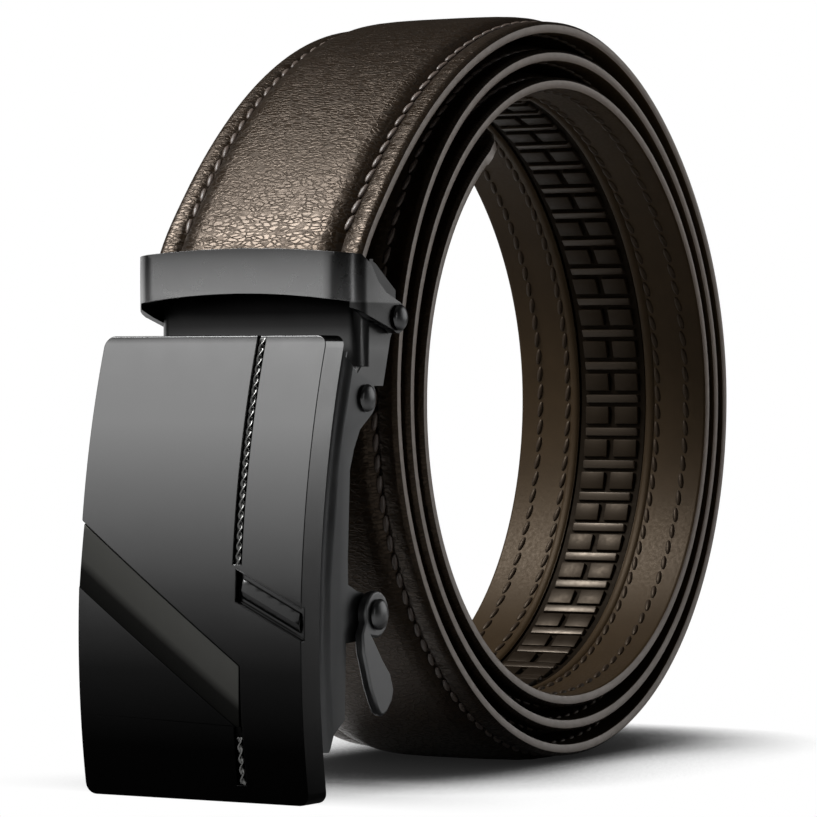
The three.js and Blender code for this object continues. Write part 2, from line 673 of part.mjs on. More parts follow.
const lever = new THREE.Group();
lever.position.set(0, LEVER_BACK, -LEVER_DROP);
lever.add(
  piece('release_lever', releaseLever(), GUNMETAL),
  piece('lever_shaft', rivet(
    LEVER_SHAFT, LEVER_HEAD, -BODY_OUTER, BODY_OUTER + CLEARANCE + LEVER_THICKNESS), STEEL),
  piece('pawl', pawl(), STEEL),
);

const hinge = new THREE.Group();
hinge.position.set(0, HINGE_Y, HINGE_Z);
const jawPin = piece('jaw_pin', rivet(JAW_SHAFT, RIVET_HEAD - 0.1, -JAW_OUTER, JAW_OUTER), STEEL);
jawPin.position.set(0, JAW_PIN_BACK, JAW_PIN_UP);
hinge.add(
  piece('clip_channel', clipChannel(), GUNMETAL),
  piece('clamp_jaw', clampJaw(), GUNMETAL),
  jawPin,
  piece('buckle_body', buckleBody(), GUNMETAL),
  piece('face_plate', facePlate(), BLACK_FACE),
  piece('rope_trim_upper', ropeTrim(PLATE_ABOVE_HINGE - 0.6, WINDOW.top), STEEL),
  piece('rope_trim_lower', ropeTrim(BAND.bottom - 1, ROPE_FOOT + CLEARANCE), STEEL),
  piece('hinge_pin', rivet(HINGE_SHAFT, RIVET_HEAD, -BODY_OUTER, BODY_OUTER), STEEL),
  lever,
);

const belt = new THREE.Group();
belt.add(piece('strap', strap(), LEATHER), piece('ratchet_track', ratchetTrack(), NYLON), hinge);

export default belt;
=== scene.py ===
"""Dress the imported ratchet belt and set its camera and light.

Lengths are in metres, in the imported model's own frame: X across the strap, -Y the front, +Z up.
The strap and what is sewn to it are modelled flat on the bench, with their length along X and
their width along Y, and then rolled up along the coil's path.
"""
from __future__ import annotations

import logging
import math
from dataclasses import dataclass
from enum import Enum
from typing import Callable, Sequence

import bpy
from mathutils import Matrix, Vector

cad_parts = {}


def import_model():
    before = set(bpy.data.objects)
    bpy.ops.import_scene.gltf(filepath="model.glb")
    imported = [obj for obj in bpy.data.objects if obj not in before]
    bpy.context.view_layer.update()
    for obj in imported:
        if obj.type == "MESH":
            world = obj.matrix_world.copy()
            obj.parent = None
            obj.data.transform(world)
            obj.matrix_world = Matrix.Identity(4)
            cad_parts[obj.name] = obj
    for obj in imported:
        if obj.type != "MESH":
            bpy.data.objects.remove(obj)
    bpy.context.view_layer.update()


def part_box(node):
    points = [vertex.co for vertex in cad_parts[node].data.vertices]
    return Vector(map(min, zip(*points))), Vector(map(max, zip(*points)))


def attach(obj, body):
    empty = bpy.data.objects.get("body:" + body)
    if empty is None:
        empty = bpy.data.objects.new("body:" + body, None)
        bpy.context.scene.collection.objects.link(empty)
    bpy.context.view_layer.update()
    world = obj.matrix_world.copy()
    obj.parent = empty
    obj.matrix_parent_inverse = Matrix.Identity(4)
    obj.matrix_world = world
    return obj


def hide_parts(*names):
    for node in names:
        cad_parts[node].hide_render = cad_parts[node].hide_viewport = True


log = logging.getLogger("ratchet_belt")
MM = 0.001
HINGE_Y = -66.3 * MM  # the buckle's hinge axis
HINGE_Z = 57.1 * MM
WELD = 0.002 * MM  # corners nearer than this are one
HAIR = 0.01 * MM  # what counts as no distance


class Body(Enum):
    """The moving bodies that a piece can ride on."""

    BELT = "belt"
    BUCKLE = "buckle"
    LEVER = "lever"


class Slot(Enum):
    """The record's material slots."""

    LEATHER = "leather"
    TRACK = "track_plastic"
    GUNMETAL = "gunmetal"
    FACE = "black_face"
    TRIM = "trim_metal"
    STEEL = "pin_steel"


# Bench tools


def deselect_all() -> None:
    """Leave edit mode and deselect every object."""
    if bpy.context.mode != "OBJECT":
        bpy.ops.object.mode_set(mode="OBJECT")
    bpy.ops.object.select_all(action="DESELECT")


def activate(piece: bpy.types.Object) -> None:
    """Make one object the only selected and the active one.

    Args:
        piece: The object to work on.
    """
    deselect_all()
    piece.select_set(True)
    bpy.context.view_layer.objects.active = piece


def settle(piece: bpy.types.Object) -> bpy.types.Object:
    """Move an object's place, turn and size into its mesh.

    Args:
        piece: The object to settle.

    Returns:
        The same object, at the origin.
    """
    activate(piece)
    bpy.ops.object.transform_apply(location=True, rotation=True, scale=True)
    return piece


def name_it(name: str) -> bpy.types.Object:
    """Name the active object and its mesh.

    Args:
        name: The new name.

    Returns:
        The active object.
    """
    piece = bpy.context.active_object
    piece.name = name
    piece.data.name = name
    return piece


def apply_modifier(piece: bpy.types.Object, kind: str, **settings: object) -> None:
    """Add a modifier and apply it at once.

    Args:
        piece: The object to change.
        kind: The modifier's type.
        **settings: Its properties.
    """
    activate(piece)
    modifier = piece.modifiers.new(kind.lower(), kind)
    for key, value in settings.items():
        setattr(modifier, key, value)
    bpy.ops.object.modifier_apply(modifier=modifier.name)


def pick_faces(piece: bpy.types.Object, wanted: Callable[[bpy.types.MeshPolygon], bool]) -> None:
    """Enter edit mode with only the wanted faces selected.

    Args:
        piece: The object to edit.
        wanted: Tells whether a face is picked.
    """
    activate(piece)
    bpy.ops.object.mode_set(mode="EDIT")
    bpy.ops.mesh.select_mode(type="FACE")
    bpy.ops.mesh.select_all(action="DESELECT")
    bpy.ops.object.mode_set(mode="OBJECT")
    for face in piece.data.polygons:
        face.select = wanted(face)
    bpy.ops.object.mode_set(mode="EDIT")


def pick_edges(piece: bpy.types.Object, wanted: Callable[[Vector, Vector], bool]) -> None:
    """Enter edit mode with only the wanted edges selected.

    Args:
        piece: The object to edit.
        wanted: Tells from an edge's two ends whether it is picked.
    """
    activate(piece)
    bpy.ops.object.mode_set(mode="EDIT")
    bpy.ops.mesh.select_mode(type="EDGE")
    bpy.ops.mesh.select_all(action="DESELECT")
    bpy.ops.object.mode_set(mode="OBJECT")
    for edge in piece.data.edges:
        first, second = (piece.data.vertices[i].co for i in edge.vertices)
        edge.select = wanted(first, second)
    bpy.ops.object.mode_set(mode="EDIT")


def shape(piece: bpy.types.Object, move: Callable[[Vector], Vector]) -> None:
    """Push every vertex to a new place.

    Args:
        piece: The object to shape.
        move: Gives a vertex's new place from its old one.
    """
    for vertex in piece.data.vertices:
        vertex.co = move(vertex.co.copy())
    piece.data.update()


def join_pieces(pieces: Sequence[bpy.types.Object]) -> bpy.types.Object:
    """Join several objects into the first.

    Args:
        pieces: The objects to join.

    Returns:
        The joined object.
    """
    activate(pieces[0])
    for piece in pieces[1:]:
        piece.select_set(True)
    bpy.ops.object.join()
    return pieces[0]


def smooth(piece: bpy.types.Object, degrees: float = 32.0) -> None:
    """Shade an object smooth, apart from its sharp edges.

    Args:
        piece: The object to shade.
        degrees: Edges sharper than this stay sharp.
    """
    activate(piece)
    bpy.ops.object.shade_smooth_by_angle(angle=math.radians(degrees))


def finish_piece(
    piece: bpy.types.Object, body: Body, materials: Sequence[bpy.types.Material],
    stands_for: Sequence[str] = (),
) -> bpy.types.Object:
    """Give a new piece its finish and tie it to the frame.

    Args:
        piece: The finished mesh.
        body: The body that it rides on.
        materials: Its materials, in the order of its faces' slots.
        stands_for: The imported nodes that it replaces.

    Returns:
        The same object.
    """
    indices = [face.material_index for face in piece.data.polygons]
    piece.data.materials.clear()
    for material in materials:
        piece.data.materials.append(material)
    for face, index in zip(piece.data.polygons, indices):
        face.material_index = min(index, len(materials) - 1)
    settle(piece)
    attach(piece, body.value)
    if stands_for:
        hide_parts(*stands_for)
    log.info("%s rides on %s: %d faces", piece.name, body.value, len(piece.data.polygons))
    return piece


# Finishes


class Recipe:
    """A material's node tree under construction."""

    def __init__(self, name: str) -> None:
        """Start a material with an empty shader.

        Args:
            name: The material's name.
        """
        self.material = bpy.data.materials.new(name)
        self.material.use_nodes = True
        self.tree = self.material.node_tree
        self.tree.nodes.clear()
        self.output = self.tree.nodes.new("ShaderNodeOutputMaterial")
        self.shader = self.add("ShaderNodeBsdfPrincipled")
        self.link(self.shader, "BSDF", self.output, "Surface")

    def add(
        self, kind: str, inputs: dict[str, object] | None = None, **settings: object,
    ) -> bpy.types.Node:
        """Add a node.

        Args:
            kind: The node's type.
            inputs: Values of its sockets by name.
            **settings: Its properties.

        Returns:
            The node.
        """
        node = self.tree.nodes.new(kind)
        for key, value in settings.items():
            setattr(node, key, value)
        for key, value in (inputs or {}).items():
            node.inputs[key].default_value = value
        return node

    def link(self, source: bpy.types.Node, out: str, target: bpy.types.Node, into: str | int) -> None:
        """Join two sockets.

        Args:
            source: The node that gives the value.
            out: Its socket.
            target: The node that takes it.
            into: Its socket.
        """
        self.tree.links.new(source.outputs[out], target.inputs[into])

    def place(self, on_surface: bool, scale: tuple[float, float, float] = (1, 1, 1)) -> bpy.types.Node:
        """Coordinates for a pattern.

        Args:
            on_surface: Whether they follow the UV map, and not the object's space.
            scale: How they are stretched.

        Returns:
            A mapping node.
        """
        source = self.add("ShaderNodeTexCoord")
        mapping = self.add("ShaderNodeMapping", {"Scale": scale})
        self.link(source, "UV" if on_surface else "Object", mapping, "Vector")
        return mapping

    def noise(
        self, where: bpy.types.Node, scale: float, detail: float = 3.0, rough: float = 0.5,
    ) -> bpy.types.Node:
        """Noise on given coordinates.

        Args:
            where: The mapping node.
            scale: Features for each metre.
            detail: Number of octaves.
            rough: How strong the fine ones are.

        Returns:
            The noise node.
        """
        node = self.add("ShaderNodeTexNoise", {"Scale": scale, "Detail": detail, "Roughness": rough})
        self.link(where, "Vector", node, "Vector")
        return node

    def ramp(
        self, source: bpy.types.Node, out: str, stops: Sequence[tuple[float, float]],
    ) -> bpy.types.Node:
        """Remap a value along a grey ramp.

        Args:
            source: The node that gives the value.
            out: Its socket.
            stops: Place and grey value of each stop.

        Returns:
            The ramp node.
        """
        node = self.add("ShaderNodeValToRGB")
        elements = node.color_ramp.elements
        while len(elements) < len(stops):
            elements.new(0.5)
        for element, (place, grey) in zip(elements, stops):
            element.position = place
            element.color = (grey, grey, grey, 1)
        self.link(source, out, node, "Fac")
        return node

    def mix(
        self, factor: bpy.types.Node, out: str, low: tuple[float, float, float],
        high: tuple[float, float, float],
    ) -> bpy.types.Node:
        """Mix two colours.

        Args:
            factor: The node that gives the factor.
            out: Its socket.
            low: Colour at 0.
            high: Colour at 1.

        Returns:
            The mix node.
        """
        node = self.add("ShaderNodeMixRGB")
        node.inputs[1].default_value = (*low, 1)
        node.inputs[2].default_value = (*high, 1)
        self.link(factor, out, node, 0)
        return node

    def bump(
        self, height: bpy.types.Node, out: str, strength: float, distance: float,
        below: bpy.types.Node | None = None,
    ) -> bpy.types.Node:
        """Raise a pattern.

        Args:
            height: The node that gives the height.
            out: Its socket.
            strength: How strong it is.
            distance: How high it is, in metres.
            below: A bump node under this one.

        Returns:
            The bump node.
        """
        node = self.add("ShaderNodeBump", {"Strength": strength, "Distance": distance})
        self.link(height, out, node, "Height")
        if below is not None:
            self.link(below, "Normal", node, "Normal")
        return node


@dataclass(frozen=True)
class GrainLeather:
    """Soft leather with fine creases across the strap, painted darker as shade, and puckers along its
    seams.
    """

    name: str = "grain_leather"
    # colour in the creases: painted shade
    hollow: tuple[float, float, float] = (0.0008, 0.0005, 0.0002)
    top: tuple[float, float, float] = (0.0095, 0.0054, 0.0025)
    roughness: float = 0.3
    gloss: float = 0.34
    sheen: tuple[float, float, float] = (1.0, 0.77, 0.58)
    cells: float = 1950.0
    stretch: float = 0.42
    wander: float = 0.8 * MM
    seam: float = 13.8 * MM
    seam_width: float = 0.4 * MM
    pucker_reach: float = 3.0 * MM
    skin_height: float = 0.02 * MM
    grain_height: float = 0.036 * MM
    pucker_height: float = 0.7 * MM

    def seam_share(self, recipe: Recipe) -> bpy.types.Node:
        """How near a place is to one of the two seams.

        Args:
            recipe: The material under construction.

        Returns:
            A node that gives 1 on the seam and 0 beyond its reach.
        """
        split = recipe.add("ShaderNodeSeparateXYZ")
        recipe.link(recipe.place(True), "Vector", split, "Vector")
        across = recipe.add("ShaderNodeMath", operation="ABSOLUTE")
        recipe.link(split, "Y", across, 0)
        offset = recipe.add("ShaderNodeMath", operation="SUBTRACT")
        offset.inputs[1].default_value = self.seam
        recipe.link(across, "Value", offset, 0)
        away = recipe.add("ShaderNodeMath", operation="ABSOLUTE")
        recipe.link(offset, "Value", away, 0)
        share = recipe.add("ShaderNodeMapRange")
        share.inputs["From Min"].default_value = self.pucker_reach
        share.inputs["From Max"].default_value = self.seam_width
        recipe.link(away, "Value", share, "Value")
        return share

    def make(self) -> bpy.types.Material:
        """Build the material.

        Returns:
            The material, on the strap's UV map.
        """
        recipe = Recipe(self.name)
        recipe.shader.inputs["Specular IOR Level"].default_value = self.gloss
        recipe.shader.inputs["Specular Tint"].default_value = (*self.sheen, 1)
        flat = recipe.place(True, (1.0, self.stretch, 1))
        wander = recipe.noise(flat, 1000, 3)
        shifted = recipe.add("ShaderNodeVectorMath", operation="MULTIPLY_ADD")
        shifted.inputs[1].default_value = (self.wander, self.wander, 0)
        recipe.link(wander, "Color", shifted, 0)
        recipe.link(flat, "Vector", shifted, 2)
        cell = recipe.add(
            "ShaderNodeTexVoronoi", {"Scale": self.cells}, feature="DISTANCE_TO_EDGE")
        recipe.link(shifted, "Vector", cell, "Vector")
        crease = recipe.ramp(cell, "Distance", [(0.0, 0.0), (0.06, 0.4), (0.17, 1.0)])
        fade = recipe.ramp(recipe.noise(flat, 900, 2), "Fac", [(0.48, 0.0), (0.75, 1.0)])
        softened = recipe.add("ShaderNodeMixRGB", blend_type="LIGHTEN")
        recipe.link(fade, "Color", softened, 0)
        recipe.link(crease, "Color", softened, 1)
        softened.inputs[2].default_value = (0.6, 0.6, 0.6, 1)
        broad = recipe.noise(flat, 95, 3)
        wrinkle = recipe.noise(recipe.place(True, (1.0, 0.3, 1)), 1100, 3, 0.6)
        # base colour darker in the creases: painted shade in the grain's hollows
        colour = recipe.mix(softened, "Color", self.hollow, self.top)
        tone = recipe.mix(broad, "Fac", (0.8, 0.8, 0.8), (1.2, 1.2, 1.2))
        tinted = recipe.add("ShaderNodeMixRGB", blend_type="MULTIPLY")
        tinted.inputs[0].default_value = 1.0
        recipe.link(colour, "Color", tinted, 1)
        recipe.link(tone, "Color", tinted, 2)
        recipe.link(tinted, "Color", recipe.shader, "Base Color")
        gloss = recipe.ramp(softened, "Color", [(0.0, self.roughness + 0.25), (1.0, self.roughness)])
        recipe.link(gloss, "Color", recipe.shader, "Roughness")
        pucker = recipe.noise(recipe.place(True, (1.0, 0.35, 1)), 620, 2)
        gathered = recipe.add("ShaderNodeMath", operation="MULTIPLY")
        recipe.link(pucker, "Fac", gathered, 0)
        recipe.link(self.seam_share(recipe), "Result", gathered, 1)
        skin = recipe.bump(wrinkle, "Fac", 0.4, self.skin_height)
        grain = recipe.bump(softened, "Color", 1.0, self.grain_height, skin)
        wave = recipe.bump(gathered, "Value", 0.8, self.pucker_height, grain)
        recipe.link(wave, "Normal", recipe.shader, "Normal")
        return recipe.material


@dataclass(frozen=True)
class PlainSkin:
    """A smooth dyed surface: lining, painted edge, thread or moulded plastic."""

    name: str
    dark: tuple[float, float, float]
    light: tuple[float, float, float]
    roughness: float
    spots: float
    relief: float
    gloss: float = 0.5
    sheen: tuple[float, float, float] = (1.0, 1.0, 1.0)
    on_surface: bool = True

    def make(self) -> bpy.types.Material:
        """Build the material.

        Returns:
            The material.
        """
        recipe = Recipe(self.name)
        recipe.shader.inputs["Specular IOR Level"].default_value = self.gloss
        recipe.shader.inputs["Specular Tint"].default_value = (*self.sheen, 1)
        where = recipe.place(self.on_surface)
        broad = recipe.noise(where, self.spots / 8, 3)
        fine = recipe.noise(where, self.spots, 4, 0.6)
        colour = recipe.mix(broad, "Fac", self.dark, self.light)
        recipe.link(colour, "Color", recipe.shader, "Base Color")
        gloss = recipe.ramp(fine, "Fac", [(0.3, self.roughness + 0.1), (0.7, self.roughness - 0.05)])
        recipe.link(gloss, "Color", recipe.shader, "Roughness")
        surface = recipe.bump(fine, "Fac", 0.5, self.relief)
        recipe.link(surface, "Normal", recipe.shader, "Normal")
        return recipe.material


@dataclass(frozen=True)
class PlatedMetal:
    """Plated or blackened metal with faint wear."""

    name: str
    colour: tuple[float, float, float]
    worn: tuple[float, float, float]
    roughness: float

    def make(self) -> bpy.types.Material:
        """Build the material.

        Returns:
            The material, on the object's coordinates.
        """
        recipe = Recipe(self.name)
        where = recipe.place(False)
        cloud = recipe.noise(where, 160, 4)
        grit = recipe.noise(where, 9000, 2)
        colour = recipe.mix(cloud, "Fac", self.colour, self.worn)
        recipe.link(colour, "Color", recipe.shader, "Base Color")
        recipe.shader.inputs["Metallic"].default_value = 1.0
        gloss = recipe.ramp(cloud, "Fac", [(0.3, self.roughness), (0.75, self.roughness + 0.08)])
        recipe.link(gloss, "Color", recipe.shader, "Roughness")
        surface = recipe.bump(grit, "Fac", 0.12, 0.01 * MM)
        recipe.link(surface, "Normal", recipe.shader, "Normal")
        return recipe.material


@dataclass(frozen=True)
class PaintedReflectionMetal:
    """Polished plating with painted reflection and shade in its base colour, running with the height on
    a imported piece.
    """

    name: str
    node: str
    reach: float
    painted_shades: tuple[tuple[float, float], ...]
    roughness: float = 0.2
    # painted glint and shade stripes across a corner, multiplied into the colour
    corner: tuple[tuple[float, float], ...] = ((0.0, 1.0), (1.0, 1.0))
    # painted highlight strip, lightened into the colour
    strip: tuple[tuple[float, float], ...] = ((0.0, 0.0), (1.0, 0.0))
    corner_from: float = 14.0 * MM
    corner_to: float = 20.3 * MM

    def make(self) -> bpy.types.Material:
        """Build the material.

        Returns:
            The material, whose painted reflection and shade run from the piece's top down over its
            reach.
        """
        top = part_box(self.node)[1].z
        recipe = Recipe(self.name)
        where = recipe.place(False)
        split = recipe.add("ShaderNodeSeparateXYZ")
        recipe.link(where, "Vector", split, "Vector")
        height = recipe.add("ShaderNodeMapRange")
        height.inputs["From Min"].default_value = top - self.reach
        height.inputs["From Max"].default_value = top
        recipe.link(split, "Z", height, "Value")
        # painted reflection and shade: base colour lighter or darker with the height
        shade = recipe.ramp(height, "Result", self.painted_shades)
        side = recipe.add("ShaderNodeMapRange")
        side.inputs["From Min"].default_value = self.corner_from
        side.inputs["From Max"].default_value = self.corner_to
        recipe.link(split, "X", side, "Value")
        tinted = recipe.add("ShaderNodeMixRGB", blend_type="MULTIPLY")
        tinted.inputs[0].default_value = 1.0
        recipe.link(shade, "Color", tinted, 1)
        recipe.link(recipe.ramp(side, "Result", self.corner), "Color", tinted, 2)
        # painted highlight strip over the painted shade
        painted_light_colour = recipe.add("ShaderNodeMixRGB", blend_type="LIGHTEN")
        painted_light_colour.inputs[0].default_value = 1.0
        recipe.link(tinted, "Color", painted_light_colour, 1)
        recipe.link(recipe.ramp(side, "Result", self.strip), "Color", painted_light_colour, 2)
        recipe.link(painted_light_colour, "Color", recipe.shader, "Base Color")
        recipe.shader.inputs["Metallic"].default_value = 1.0
        haze = recipe.noise(where, 240, 4)
        gloss = recipe.ramp(haze, "Fac", [(0.3, self.roughness), (0.8, self.roughness + 0.05)])
        recipe.link(gloss, "Color", recipe.shader, "Roughness")
        return recipe.material


@dataclass(frozen=True)
class BandPlatingWithPaintedReflection:
    """Satin plating on the band that darkens to black towards its lower edge: partly a contrast finish,
    partly a painted reflection in the soft gradient.
    """

    slope: float
    upper: float
    height: float
    name: str = "slanted_band_plating_painted_reflection"
    roughness: float = 0.36

    def make(self) -> bpy.types.Material:
        """Build the material.

        Returns:
            The material, its base colour graded across the slanted band on the object's coordinates as a
            painted reflection.
        """
        recipe = Recipe(self.name)
        where = recipe.place(False)
        across = recipe.add("ShaderNodeVectorMath", operation="DOT_PRODUCT")
        across.inputs[1].default_value = (-self.slope, 0, 1)
        recipe.link(where, "Vector", across, 0)
        share = recipe.add("ShaderNodeMapRange")
        share.inputs["From Min"].default_value = self.upper - self.height
        share.inputs["From Max"].default_value = self.upper
        recipe.link(across, "Value", share, "Value")
        # soft gradient from black at the lower edge to satin grey above: contrast finish with painted
        # reflection
        shade = recipe.ramp(share, "Result", [(0.0, 0.004), (0.28, 0.006), (0.45, 0.035), (1.0, 0.045)])
        tint = recipe.mix(shade, "Color", (0, 0, 0), (1.0, 1.0, 0.93))
        recipe.link(tint, "Color", recipe.shader, "Base Color")
        recipe.shader.inputs["Metallic"].default_value = 1.0
        haze = recipe.noise(recipe.place(False, (1, 1, 0.2)), 900, 3)
        gloss = recipe.ramp(haze, "Fac", [(0.3, self.roughness), (0.8, self.roughness + 0.08)])
        recipe.link(gloss, "Color", recipe.shader, "Roughness")
        return recipe.material


# Path of the coil


@dataclass(frozen=True)
class CoilPath:
    """The line that the strap's back follows, from the clip inwards.

    Travel is the angle turned from the clip end, over the top; the eight rows of form go round
    from the back over the top.
    """

    radius: float = 59.0 * MM
    turns: float = 3.144
    start: float = 166.0
    first: float = 12.0
    lead: float = 10.0 * MM
    lead_travel: float = 70.0
    foot_flat: float = 0.5 * MM
    edge: float = 1.8 * MM
    crown: float = 3.05 * MM
    end_back: float = 1.6 * MM
    end_height: float = 16.8 * MM
    end_lean: float = 16.0
    track_margin: float = 48.0
    track_span: float = 280.0
    clip_steps: int = 16
    ring_step: float = 1.5
    form: tuple[tuple[float, float], ...] = (
        (0.981, 0.10), (0.947, 0.12), (0.988, 0.39), (1.017, 0.51),
        (0.999, 0.28), (0.989, 0.12), (1.016, 0.25), (1.007, 0.10),
    )

    @property
    def tail(self) -> float:
        """Travel at the strap's tip."""
        return 360.0 * self.turns

    @property
    def track_end(self) -> float:
        """Travel at the end of the track's recess nearest the tip."""
        return self.tail - self.track_margin

    @property
    def track_start(self) -> float:
        """Travel at the other end of the recess."""
        return self.track_end - self.track_span

    def _form(self, angle: float, column: int) -> float:
        """One column of the form at any angle, on a smooth closed curve.

        Args:
            angle: Degrees from the back over the top.
            column: 0 for the radius, 1 for the gap.

        Returns:
            The share at that angle.
        """
        place = (angle % 360.0) * len(self.form) / 360.0
        row = int(place)
        t = place - row
        a, b, c, d = (self.form[(row + step) % len(self.form)][column] for step in (-1, 0, 1, 2))
        return b + 0.5 * t * (c - a + t * (2 * a - 5 * b + 4 * c - d + t * (3 * (b - c) + d - a)))

    def outer_radius(self, travel: float) -> float:
        """Radius of the strap's outer corner.

        Args:
            travel: Degrees from the clip end.

        Returns:
            The radius about the coil's centre.
        """
        angle = self.start - travel
        pitch = self.crown * (1 + self._form(angle, 1))
        lead = self.lead * max(0.0, 1 - travel / self.lead_travel) ** 3
        return self.radius * self._form(angle, 0) - pitch * travel / 360 + lead

    @property
    def centre(self) -> float:
        """Height of the coil's centre above the floor."""
        return self.outer_radius(self.start + 90) + self.crown - self.edge - self.foot_flat

    def point(self, travel: float) -> Vector:
        """A point on the strap's back.

        Args:
            travel: Degrees from the clip end.

        Returns:
            Its (y, z).
        """
        angle = math.radians(self.start - travel)
        radius = self.outer_radius(travel) - self.edge
        return Vector((radius * math.cos(angle), self.centre + radius * math.sin(angle)))

    def tangent(self, travel: float) -> Vector:
        """The strap's direction at a travel."""
        return (self.point(travel + 0.5) - self.point(travel - 0.5)).normalized()

    def line(self) -> list[Vector]:
        """The whole path.

        Returns:
            Its points as (y, z), from the strap's cut end to its tip.
        """
        lean = math.radians(self.end_lean)
        start = Vector((HINGE_Y + self.end_back, HINGE_Z + self.end_height))
        end = self.point(self.first)
        reach = (end - start).length / 3
        near = start + reach * Vector((math.sin(lean), math.cos(lean)))
        far = end - reach * self.tangent(self.first)
        points = []
        for i in range(self.clip_steps):
            t = i / self.clip_steps
            points.append(
                (1 - t) ** 3 * start + 3 * t * (1 - t) ** 2 * near
                + 3 * t * t * (1 - t) * far + t ** 3 * end)
        steps = round((self.tail - self.first) / self.ring_step)
        for i in range(steps + 1):
            points.append(self.point(self.first + (self.tail - self.first) * i / steps))
        return points

    def length_to(self, travel: float) -> float:
        """Length of strap from its cut end to a travel."""
        points = self.line()
        steps = len(points) - 1 - self.clip_steps
        last = self.clip_steps + (travel - self.first) / (self.tail - self.first) * steps
        whole = int(last)
        total = sum((points[i + 1] - points[i]).length for i in range(whole))
        if whole + 1 < len(points):
            total += (last - whole) * (points[whole + 1] - points[whole]).length
        return total

    def roll_up(self, piece: bpy.types.Object) -> bpy.types.Object:
        """Roll a flat piece up along the path.

        Args:
            piece: An object whose length lies along X from 0, with its width along Y and
                its outer side up.

        Returns:
            The same object, in the frame's own place.
        """
        curve = bpy.data.curves.new("coil_path", "CURVE")
        curve.dimensions = "2D"
        points = self.line()
        spline = curve.splines.new("POLY")
        spline.points.add(len(points) - 1)
        for knot, point in zip(spline.points, points):
            knot.co = (point.x, point.y, 0, 1)
        path = bpy.data.objects.new("coil_path", curve)
        bpy.context.scene.collection.objects.link(path)
        # in the path's plane the strap's outer side is up and its width runs out of the plane
        shape(piece, lambda co: Vector((co.x, co.z, co.y)))
        apply_modifier(piece, "CURVE", object=path, deform_axis="POS_X")
        shape(piece, lambda co: Vector((co.z, co.x, co.y)))
        bpy.data.objects.remove(path)
        return piece


# Strap


